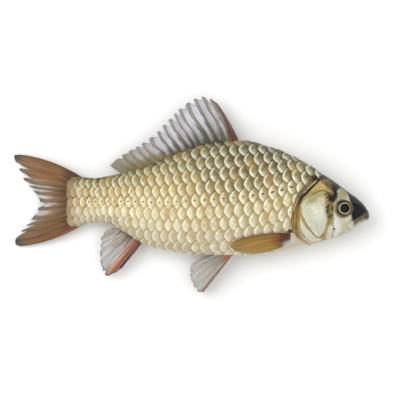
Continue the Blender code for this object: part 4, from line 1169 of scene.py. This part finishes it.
amount = add(m, "MapRange", {0: both, 1: 0.38, 2: 0.60}, interpolation_type="SMOOTHSTEP").outputs[0]
colour = add(m, "Mix", {0: amount, 6: "#d8d8ca", 7: "#b7b39d"}, data_type="RGBA").outputs[2]
down = add(m, "Attribute", attribute_name="down", attribute_type="GEOMETRY").outputs["Fac"]
ahead = add(m, "Attribute", attribute_name="ahead", attribute_type="GEOMETRY").outputs["Fac"]
membrane = add(
    m, "ValToRGB", {0: down}, stops=[(0.0, "#2e2416"), (0.22, "#3f311b"), (0.42, "#86692f"), (0.8, "#9f8650"), (1.0, "#b09a72")]
).outputs[0]
product = add(m, "Math", {0: ahead, 1: 11.0}, operation="MULTIPLY").outputs[0]
point = add(m, "CombineXYZ", {0: product, 1: add(m, "Math", {0: down, 1: 7.0}, operation="MULTIPLY").outputs[0]}).outputs[0]
# Noise draws wrinkles across the membrane: its dark lines are painted shade in the folds, and the pale stripes lower
# down are painted highlight.
wrinkle = add(m, "TexNoise", {"Vector": point, "Scale": 1.0, "Detail": 2}).outputs["Fac"]
amount = add(m, "MapRange", {0: wrinkle, 1: 0.50, 2: 0.64, 3: 0.0, 4: 0.8}, interpolation_type="SMOOTHSTEP").outputs[0]
membrane = add(m, "Mix", {0: amount, 6: membrane, 7: "#4c3a1e"}, data_type="RGBA").outputs[2]
lower = add(m, "MapRange", {0: down, 1: 0.25, 2: 0.5, 3: 0.0, 4: 0.6}, interpolation_type="SMOOTHSTEP").outputs[0]
amount = add(m, "MapRange", {0: wrinkle, 1: 0.44, 2: 0.32}, interpolation_type="SMOOTHSTEP").outputs[0]
product = add(m, "Math", {0: amount, 1: lower}, operation="MULTIPLY").outputs[0]
membrane = add(m, "Mix", {0: product, 6: membrane, 7: "#c7ac76"}, data_type="RGBA").outputs[2]

# %% Zones and lines laid over the cheek
for name, (code, soft, wobble, cover, _) in {**HEAD_ZONES, **HEAD_LINES}.items():
    # The membrane is laid just before the painted highlight on the plate's edge.
    if name == "plate_edge_highlight":
        stored = add(m, "Attribute", attribute_name="membrane", attribute_type="GEOMETRY").outputs["Fac"]
        wavy = wandering(m, stored, both, 0.5)
        amount = add(m, "MapRange", {0: wavy, 1: 0.35, 2: 0.65}, interpolation_type="SMOOTHSTEP").outputs[0]
        colour = add(m, "Mix", {0: amount, 6: colour, 7: membrane}, data_type="RGBA").outputs[2]
    reach = wandering(m, add(m, "Attribute", attribute_name=name, attribute_type="GEOMETRY").outputs["Fac"], both, wobble * 2)
    share = add(
        m, "MapRange", {0: reach, 1: -soft, 2: soft if name in HEAD_ZONES else 0.0, 3: 0.0, 4: cover},
        interpolation_type="SMOOTHSTEP"
    ).outputs[0]
    if name == "streaks":
        amount = add(m, "MapRange", {0: comb, 1: 0.42, 2: 0.54}, interpolation_type="SMOOTHSTEP").outputs[0]
        share = add(m, "Math", {0: share, 1: amount}, operation="MULTIPLY").outputs[0]
    colour = add(m, "Mix", {0: share, 6: colour, 7: code}, data_type="RGBA").outputs[2]
# Painted shade in the mouth's slit and the pits, and painted shadow along the gill opening.
for name, code in (("slit", "#201710"), ("pit_shade", "#14110e"), ("gill_shadow", "#33291a")):
    stored = add(m, "Attribute", attribute_name=name, attribute_type="GEOMETRY").outputs["Fac"]
    amount = add(m, "MapRange", {0: stored, 1: 0.25, 2: 0.85}, interpolation_type="SMOOTHSTEP").outputs[0]
    colour = add(m, "Mix", {0: amount, 6: colour, 7: code}, data_type="RGBA").outputs[2]

# %% Shade and gloss of the head
mottle = add(m, "TexNoise", {"Vector": on_object, "Scale": 1 / (1.7 * MM), "Detail": 3, "Roughness": 0.55}).outputs["Fac"]
amount = add(m, "MapRange", {0: mottle, 1: 0.3, 2: 0.7, 3: 0.90, 4: 1.06}, interpolation_type="SMOOTHSTEP").outputs[0]
second_amount = add(m, "MapRange", {0: specks, 1: 0.25, 2: 0.75, 3: 0.84, 4: 1.12}, interpolation_type="SMOOTHSTEP").outputs[0]
product = add(m, "Math", {0: second_amount, 1: amount}, operation="MULTIPLY").outputs[0]
colour = add(m, "HueSaturation", {"Value": product, "Color": colour}).outputs[0]
amount = add(m, "MapRange", {0: specks, 1: 0.2, 2: 0.8, 3: 0.30, 4: 0.50}, interpolation_type="SMOOTHSTEP").outputs[0]
drive(m, Base_Color=colour, Roughness=amount)
total = add(m, "Math", {0: specks, 1: blots}, operation="ADD").outputs[0]
relief = add(m, "Bump", {"Strength": 0.25, "Distance": 0.25 * MM, "Height": total})
drive(m, Normal=relief.outputs[0])
fit(head, head_skin, "fish")

# %% [markdown]
# ## Eye material
# The rings of the eye are one ramp over the distance from the pupil's middle, under a clear wet coat that takes the
# sharp highlight. The iris is darker above, where the rim shades it, and red-brown below.

# %% Wet eye and its rim
wet_eye = new_material("wet_eye", IOR=1.25, Roughness=0.25, Coat_Weight=0.07, Coat_Roughness=0.05)
m = wet_eye
on_object = add(m, "TexCoord").outputs["Object"]
stored = add(m, "Attribute", attribute_name="from_pupil", attribute_type="GEOMETRY").outputs["Fac"]
rings = add(
    m, "ValToRGB", {0: stored},
    stops=[
        (0.0, "#0c0c0e"), (0.315, "#0b0b0c"), (0.335, "#17140f"), (0.35, "#aeaaa0"), (0.39, "#c2beb4"), (0.415, "#4c4228"),
        (0.50, "#3c3420"), (1.0, "#3a311d")
    ]
).outputs[0]
mottle = add(m, "TexNoise", {"Vector": on_object, "Scale": 1 / (1.2 * MM), "Detail": 3, "Roughness": 0.55}).outputs["Fac"]
amount = add(m, "MapRange", {0: mottle, 1: 0.35, 2: 0.65}, interpolation_type="SMOOTHSTEP").outputs[0]
iris = add(m, "Mix", {0: amount, 6: "#a08d52", 7: "#6f6134"}, data_type="RGBA").outputs[2]
stored = add(m, "Attribute", attribute_name="iris_edge", attribute_type="GEOMETRY").outputs["Fac"]
amount = add(m, "MapRange", {0: stored, 1: 0.35, 2: 0.42}, interpolation_type="SMOOTHSTEP").outputs[0]
colour = add(m, "Mix", {0: amount, 6: rings, 7: iris}, data_type="RGBA").outputs[2]
stored = add(m, "Attribute", attribute_name="iris_edge", attribute_type="GEOMETRY").outputs["Fac"]
amount = add(m, "MapRange", {0: stored, 1: 0.42, 2: 0.45}, interpolation_type="SMOOTHSTEP").outputs[0]
colour = add(m, "Mix", {0: amount, 6: colour, 7: "#4a3e24"}, data_type="RGBA").outputs[2]
high = add(m, "Attribute", attribute_name="eye_height", attribute_type="GEOMETRY").outputs["Fac"]
stored = add(m, "Attribute", attribute_name="from_pupil", attribute_type="GEOMETRY").outputs["Fac"]
outer = add(m, "MapRange", {0: stored, 1: 0.40, 2: 0.44}, interpolation_type="SMOOTHSTEP").outputs[0]
amount = add(m, "MapRange", {0: high, 1: 0.58, 2: 0.78}, interpolation_type="SMOOTHSTEP").outputs[0]
product = add(m, "Math", {0: outer, 1: amount}, operation="MULTIPLY").outputs[0]
colour = add(m, "Mix", {0: product, 6: colour, 7: "#241c11"}, data_type="RGBA").outputs[2]
amount = add(m, "MapRange", {0: high, 1: 0.26, 2: 0.12, 3: 0.0, 4: 0.6}, interpolation_type="SMOOTHSTEP").outputs[0]
product = add(m, "Math", {0: outer, 1: amount}, operation="MULTIPLY").outputs[0]
colour = add(m, "Mix", {0: product, 6: colour, 7: "#5d4a2c"}, data_type="RGBA").outputs[2]
drive(m, Base_Color=colour)
for ball, node in zip(eyes, ("eye_right", "eye_left")):
    fit(ball, wet_eye, node)

rim_skin = new_material("eye_rim_skin", IOR=1.36, Roughness=0.35, Coat_Weight=0.1)
m = rim_skin
on_object = add(m, "TexCoord").outputs["Object"]
stored = add(m, "Attribute", attribute_name="eye_height", attribute_type="GEOMETRY").outputs["Fac"]
colour = add(
    m, "ValToRGB", {0: stored}, stops=[(0.0, "#8a7448"), (0.3, "#b3a068"), (0.6, "#a8965a"), (0.8, "#86733f"), (1.0, "#6b5a30")]
).outputs[0]
mottle = add(m, "TexNoise", {"Vector": on_object, "Scale": 1 / (1.4 * MM), "Detail": 3, "Roughness": 0.55}).outputs["Fac"]
amount = add(m, "MapRange", {0: mottle, 1: 0.4, 2: 0.7}, interpolation_type="SMOOTHSTEP").outputs[0]
colour = add(m, "Mix", {0: amount, 6: colour, 7: "#8a7844"}, data_type="RGBA").outputs[2]
stored = add(m, "Attribute", attribute_name="to_snout", attribute_type="GEOMETRY").outputs["Fac"]
amount = add(m, "MapRange", {0: stored, 1: 0.74, 2: 0.86, 3: 0.0, 4: 0.8}, interpolation_type="SMOOTHSTEP").outputs[0]
colour = add(m, "Mix", {0: amount, 6: colour, 7: "#5f5132"}, data_type="RGBA").outputs[2]
drive(m, Base_Color=colour)
for rim, node in zip(rims, ("eye_right", "eye_left")):
    fit(rim, rim_skin, node)

# %% [markdown]
# ## Fin materials
# Every fin has the same make and its own colours: web and ray each run from root to tip, and the leading rays differ
# from the rest. Skin between the rays lets some light through, and the rays don't.

# %% Fin skin
def fin_skin(name, web, ray, spread, tip, spots=(), clear=0.78, ray_shadow="#4a443e"):
    """Web and ray run from root to tip. Spread runs from the leading ray to the last one and covers both as much as
    it says, tip does so at the ends of the rays, and spots are (share, reach, their widths, colour, cover)."""
    m = new_material(name, IOR=1.36, Coat_Weight=0.05, Coat_Roughness=0.3)
    on_object = add(m, "TexCoord").outputs["Object"]
    reach, share, on_ray = (
        add(m, "Attribute", attribute_name=n, attribute_type="GEOMETRY").outputs["Fac"] for n in ("reach", "share", "ray")
    )
    fan = add(m, "CombineXYZ", {0: share, 1: reach}).outputs[0]
    streaky = add(m, "Mapping", {"Vector": fan, "Scale": (38, 2.4, 1)}).outputs[0]
    streaks = add(m, "TexNoise", {"Vector": streaky, "Scale": 1.0, "Detail": 3}).outputs["Fac"]
    blots = add(m, "TexNoise", {"Vector": on_object, "Scale": 1 / (3.5 * MM), "Detail": 3, "Roughness": 0.55}).outputs["Fac"]
    skin = add(m, "ValToRGB", {0: wandering(m, wandering(m, reach, blots, 0.3), streaks, 0.35)}, stops=web).outputs[0]
    stored = add(m, "Attribute", attribute_name="web_tone", attribute_type="GEOMETRY").outputs["Fac"]
    amount = add(m, "MapRange", {0: stored, 1: 0.0, 2: 1.0, 3: 0.84, 4: 1.08}, interpolation_type="SMOOTHSTEP").outputs[0]
    skin = add(m, "HueSaturation", {"Value": amount, "Color": skin}).outputs[0]
    # Painted shadow beside each ray near the root.
    stored = add(m, "Attribute", attribute_name="ray_shadow", attribute_type="GEOMETRY").outputs["Fac"]
    product = add(m, "Math", {0: stored, 1: 0.95}, operation="MULTIPLY").outputs[0]
    skin = add(m, "Mix", {0: product, 6: skin, 7: ray_shadow}, data_type="RGBA").outputs[2]
    bone = add(m, "ValToRGB", {0: wandering(m, reach, blots, 0.3)}, stops=ray).outputs[0]
    stored = add(m, "Attribute", attribute_name="joints", attribute_type="GEOMETRY").outputs["Fac"]
    product = add(m, "Math", {0: stored, 1: 0.15}, operation="MULTIPLY").outputs[0]
    bone = add(m, "Mix", {0: product, 6: bone, 7: "#e0dccf"}, data_type="RGBA").outputs[2]
    amount = add(m, "MapRange", {0: on_ray, 1: 0.2, 2: 0.7}, interpolation_type="SMOOTHSTEP").outputs[0]
    colour = add(m, "Mix", {0: amount, 6: skin, 7: bone}, data_type="RGBA").outputs[2]
    sideways = wandering(m, wandering(m, share, streaks, 0.16), blots, 0.06)
    over = add(m, "ValToRGB", {0: sideways}, stops=spread)
    colour = add(m, "Mix", {0: over.outputs[1], 6: colour, 7: over.outputs[0]}, data_type="RGBA").outputs[2]
    stored = add(m, "Attribute", attribute_name="stem", attribute_type="GEOMETRY").outputs["Fac"]
    amount = add(m, "MapRange", {0: stored, 1: 0.4, 2: 0.9}, interpolation_type="SMOOTHSTEP").outputs[0]
    product = add(m, "Math", {0: amount, 1: 0.5}, operation="MULTIPLY").outputs[0]
    colour = add(m, "Mix", {0: product, 6: colour, 7: bone}, data_type="RGBA").outputs[2]
    for at_share, at_reach, wide, long, code, cover in spots:
        near = add(
            m, "VectorMath", {0: fan, 1: (1 / wide, 1 / long, 0), 2: (-at_share / wide, -at_reach / long, 0)},
            operation="MULTIPLY_ADD"
        ).outputs[0]
        away = wandering(m, add(m, "VectorMath", {0: near}, operation="LENGTH").outputs["Value"], streaks, 0.9)
        amount = add(m, "MapRange", {0: away, 1: 1.2, 2: 0.5, 3: 0.0, 4: cover}, interpolation_type="SMOOTHSTEP").outputs[0]
        colour = add(m, "Mix", {0: amount, 6: colour, 7: code}, data_type="RGBA").outputs[2]
    ends = add(m, "ValToRGB", {0: share}, stops=tip)
    stored = add(m, "Attribute", attribute_name="torn_edge", attribute_type="GEOMETRY").outputs["Fac"]
    wavy = wandering(m, stored, streaks, 0.5)
    amount = add(m, "MapRange", {0: wavy, 1: 0.2, 2: 0.8}, interpolation_type="SMOOTHSTEP").outputs[0]
    second_amount = add(m, "MapRange", {0: on_ray, 1: 0.1, 2: 0.6, 3: 0.25, 4: 1.0}, interpolation_type="SMOOTHSTEP").outputs[0]
    at_tip = add(m, "Math", {0: amount, 1: second_amount}, operation="MULTIPLY").outputs[0]
    product = add(m, "Math", {0: at_tip, 1: ends.outputs[1]}, operation="MULTIPLY").outputs[0]
    colour = add(m, "Mix", {0: product, 6: colour, 7: ends.outputs[0]}, data_type="RGBA").outputs[2]
    mottle = add(m, "TexNoise", {"Vector": on_object, "Scale": 1 / (0.9 * MM), "Detail": 3, "Roughness": 0.55}).outputs["Fac"]
    amount = add(m, "MapRange", {0: mottle, 1: 0.25, 2: 0.75, 3: 0.94, 4: 1.05}, interpolation_type="SMOOTHSTEP").outputs[0]
    second_amount = add(m, "MapRange", {0: streaks, 1: 0.3, 2: 0.7, 3: 0.82, 4: 1.10}, interpolation_type="SMOOTHSTEP").outputs[0]
    tone = add(m, "Math", {0: second_amount, 1: amount}, operation="MULTIPLY").outputs[0]
    colour = add(m, "HueSaturation", {"Value": tone, "Color": colour}).outputs[0]
    amount = add(m, "MapRange", {0: on_ray, 1: 0.1, 2: 0.7, 3: clear, 4: 1.0}, interpolation_type="SMOOTHSTEP").outputs[0]
    second_amount = add(m, "MapRange", {0: blots, 1: 0.3, 2: 0.7, 3: 0.38, 4: 0.55}, interpolation_type="SMOOTHSTEP").outputs[0]
    drive(m, Base_Color=colour, Alpha=amount, Roughness=second_amount)
    return m


fit(
    dorsal,
    fin_skin(
        "dorsal_fin_skin", web=[(0.0, "#403931"), (0.12, "#69635a"), (0.30, "#acabad"), (0.5, "#c8c7cb"), (1.0, "#cdccd6")],
        ray=[(0.0, "#3a3024"), (0.35, "#5c4f38"), (0.7, "#76695a"), (1.0, "#8c887f")],
        spread=[
            (0.0, "#664232", 1.0), (0.04, "#745644", 0.95), (0.075, "#8c8678", 0.6), (0.13, "#b5b2ae", 0.0),
            (0.62, "#9a927a", 0.0), (0.86, "#857b50", 0.7), (1.0, "#7a7048", 0.85)
        ],
        tip=[(0.0, "#7b786c", 0.6), (0.5, "#84848a", 0.4), (1.0, "#85816e", 0.6)],
        spots=[
            (0.0, 0.0, 0.10, 0.5, "#5c3425", 0.95), (0.5, 0.0, 0.7, 0.13, "#3c342a", 0.8),
            (0.82, 0.12, 0.27, 0.40, "#857744", 0.8)
        ]
    ),
    "fish"
)
fit(
    tail,
    fin_skin(
        "tail_fin_skin", web=[(0.0, "#422a1f"), (0.35, "#704e32"), (0.58, "#98765c"), (0.76, "#bcada6"), (1.0, "#cfced6")],
        ray=[(0.0, "#38221a"), (0.3, "#64462a"), (0.7, "#6a5530"), (1.0, "#525746")],
        spread=[
            (0.0, "#775433", 1.0), (0.12, "#855c34", 0.97), (0.27, "#825e34", 0.9), (0.36, "#7a5c38", 0.15),
            (0.62, "#7a5c38", 0.15), (0.72, "#785832", 0.9), (0.86, "#74512d", 0.97), (1.0, "#84542f", 1.0)
        ],
        tip=[
            (0.0, "#4b5048", 1.0), (0.12, "#5a5c4c", 0.9), (0.3, "#5f6450", 0.55), (0.5, "#5d6252", 0.6), (0.8, "#5f6450", 0.6),
            (0.9, "#565a4c", 0.9), (1.0, "#454a42", 1.0)
        ],
        spots=[
            (0.5, 0.0, 0.7, 0.17, "#4a2f22", 0.75), (0.1, 0.05, 0.35, 0.28, "#4f3227", 0.85),
            (0.9, 0.08, 0.35, 0.25, "#553726", 0.7), (0.2, 0.64, 0.08, 0.14, "#8f5030", 0.3),
            (0.97, 0.25, 0.06, 0.2, "#8f5238", 0.5), (0.04, 1.0, 0.11, 0.13, "#454b41", 0.97),
            (0.96, 1.0, 0.11, 0.13, "#3f443e", 0.97)
        ],
        clear=0.95, ray_shadow="#46341f"
    ),
    "fish"
)
fit(
    anal,
    fin_skin(
        "anal_fin_skin", web=[(0.0, "#5a463a"), (0.14, "#8a8076"), (0.35, "#cac8c8"), (1.0, "#d3d1d8")],
        ray=[(0.0, "#54402f"), (0.3, "#988a78"), (1.0, "#a9a9a6")],
        spread=[
            (0.0, "#75484a", 1.0), (0.05, "#5c2f31", 1.0), (0.10, "#47211f", 1.0), (0.15, "#8d4833", 1.0), (0.24, "#a8623f", 1.0),
            (0.31, "#b3865f", 0.9), (0.40, "#c6c3c6", 0.0), (0.8, "#c6c3c6", 0.0), (1.0, "#a3958a", 0.6)
        ],
        tip=[(0.0, "#5a3a34", 0.4), (0.25, "#57565a", 0.9), (0.45, "#7c7c7e", 0.6), (1.0, "#96948e", 0.5)],
        spots=[
            (0.62, 0.40, 0.09, 0.32, "#a99a7e", 0.85), (0.86, 0.5, 0.07, 0.45, "#a29c84", 0.8),
            (0.97, 0.25, 0.07, 0.3, "#a5806a", 0.8), (0.6, 0.0, 0.6, 0.12, "#4f3a2e", 0.9)
        ]
    ),
    "fish"
)
pelvic_skin = fin_skin(
    "pelvic_fin_skin", web=[(0.0, "#98604a"), (0.10, "#a08a7a"), (0.22, "#aeaaa4"), (0.6, "#bdbdb9"), (1.0, "#d0cfd8")],
    ray=[(0.0, "#8b5842"), (0.25, "#a4927c"), (1.0, "#adada4")],
    spread=[
        (0.0, "#84603c", 1.0), (0.05, "#9a7352", 0.95), (0.12, "#b5aeaa", 0.35), (0.2, "#b5aeaa", 0.0), (0.93, "#a8a8a4", 0.0),
        (1.0, "#77726c", 0.8)
    ],
    tip=[(0.0, "#a39a96", 0.4), (0.5, "#b8b7c2", 0.3), (1.0, "#8f8f8d", 0.6)],
    spots=[
        (0.1, 0.05, 0.28, 0.24, "#a2664c", 0.9), (0.6, 0.0, 0.5, 0.10, "#945a44", 0.9), (0.75, 0.45, 0.2, 0.4, "#a8a9a2", 0.6),
        (0.35, 0.6, 0.08, 0.3, "#b2ae94", 0.7)
    ],
    ray_shadow="#8a8680"
)
pectoral_skin = fin_skin(
    "pectoral_fin_skin", web=[(0.0, "#6b4430"), (0.25, "#94702e"), (0.6, "#ad8538"), (1.0, "#b79a50")],
    ray=[(0.0, "#5a3626"), (0.3, "#7f5c26"), (1.0, "#926f2c")],
    spread=[(0.0, "#7c5424", 0.9), (0.14, "#8a6227", 0.7), (0.4, "#a57c34", 0.5), (0.8, "#bb9446", 0.7), (1.0, "#c8ab5f", 0.85)],
    tip=[(0.0, "#8a6528", 0.5), (0.6, "#c9ba70", 0.7), (1.0, "#cfc28a", 0.8)],
    spots=[
        (0.4, 0.14, 0.8, 0.13, "#54281f", 0.9), (0.5, 0.27, 0.6, 0.11, "#8a4a2a", 0.5), (0.95, 0.06, 0.55, 0.19, "#c3c8c8", 0.97)
    ],
    clear=1.0, ray_shadow="#6a4a20"
)
for piece in pelvics:
    fit(piece, pelvic_skin, "fish")
for piece in pectorals:
    fit(piece, pectoral_skin, "fish")

# %% [markdown]
# ## Floor and light
# A pale matt floor and large soft lamps give even light with faint shadows. The main lamp is up and to the left, so
# the free edges of the scales, which face that way, catch it.

# %% Floor and lamps
deselect()
bpy.ops.mesh.primitive_plane_add(size=4)
floor = bpy.context.active_object
floor.name = "floor"
floor_paint = new_material("matt_white_paint", Roughness=0.9)
m = floor_paint
on_object = add(m, "TexCoord").outputs["Object"]
mottle = add(m, "TexNoise", {"Vector": on_object, "Scale": 1 / (40 * MM), "Detail": 3, "Roughness": 0.55}).outputs["Fac"]
blend = add(m, "Mix", {0: mottle, 6: "#fbfbfb", 7: "#fefefe"}, data_type="RGBA").outputs[2]
drive(m, Base_Color=blend)
floor.data.materials.append(floor_paint)

LAMPS = [((-0.7, 0.4, 1.2), 1.1, 10.2), ((0.6, 0.3, 1.4), 1.2, 4.0), ((0.1, -1.0, 1.1), 1.2, 2.8)]  # place, size, watts
ROOM_LIGHT = 0.60
for place, size, power in LAMPS:
    bpy.ops.object.light_add(type="AREA", location=place)
    lamp = bpy.context.active_object
    lamp.data.size, lamp.data.energy = size, power
    lamp.rotation_euler = (-Vector(place)).to_track_quat("-Z", "Y").to_euler()

world = bpy.context.scene.world or bpy.data.worlds.new("soft_room")
bpy.context.scene.world = world
world.use_nodes = True
world.node_tree.nodes["Background"].inputs[0].default_value = (1, 1, 1, 1)
world.node_tree.nodes["Background"].inputs[1].default_value = ROOM_LIGHT
bpy.context.scene.view_settings.view_transform = "Standard"
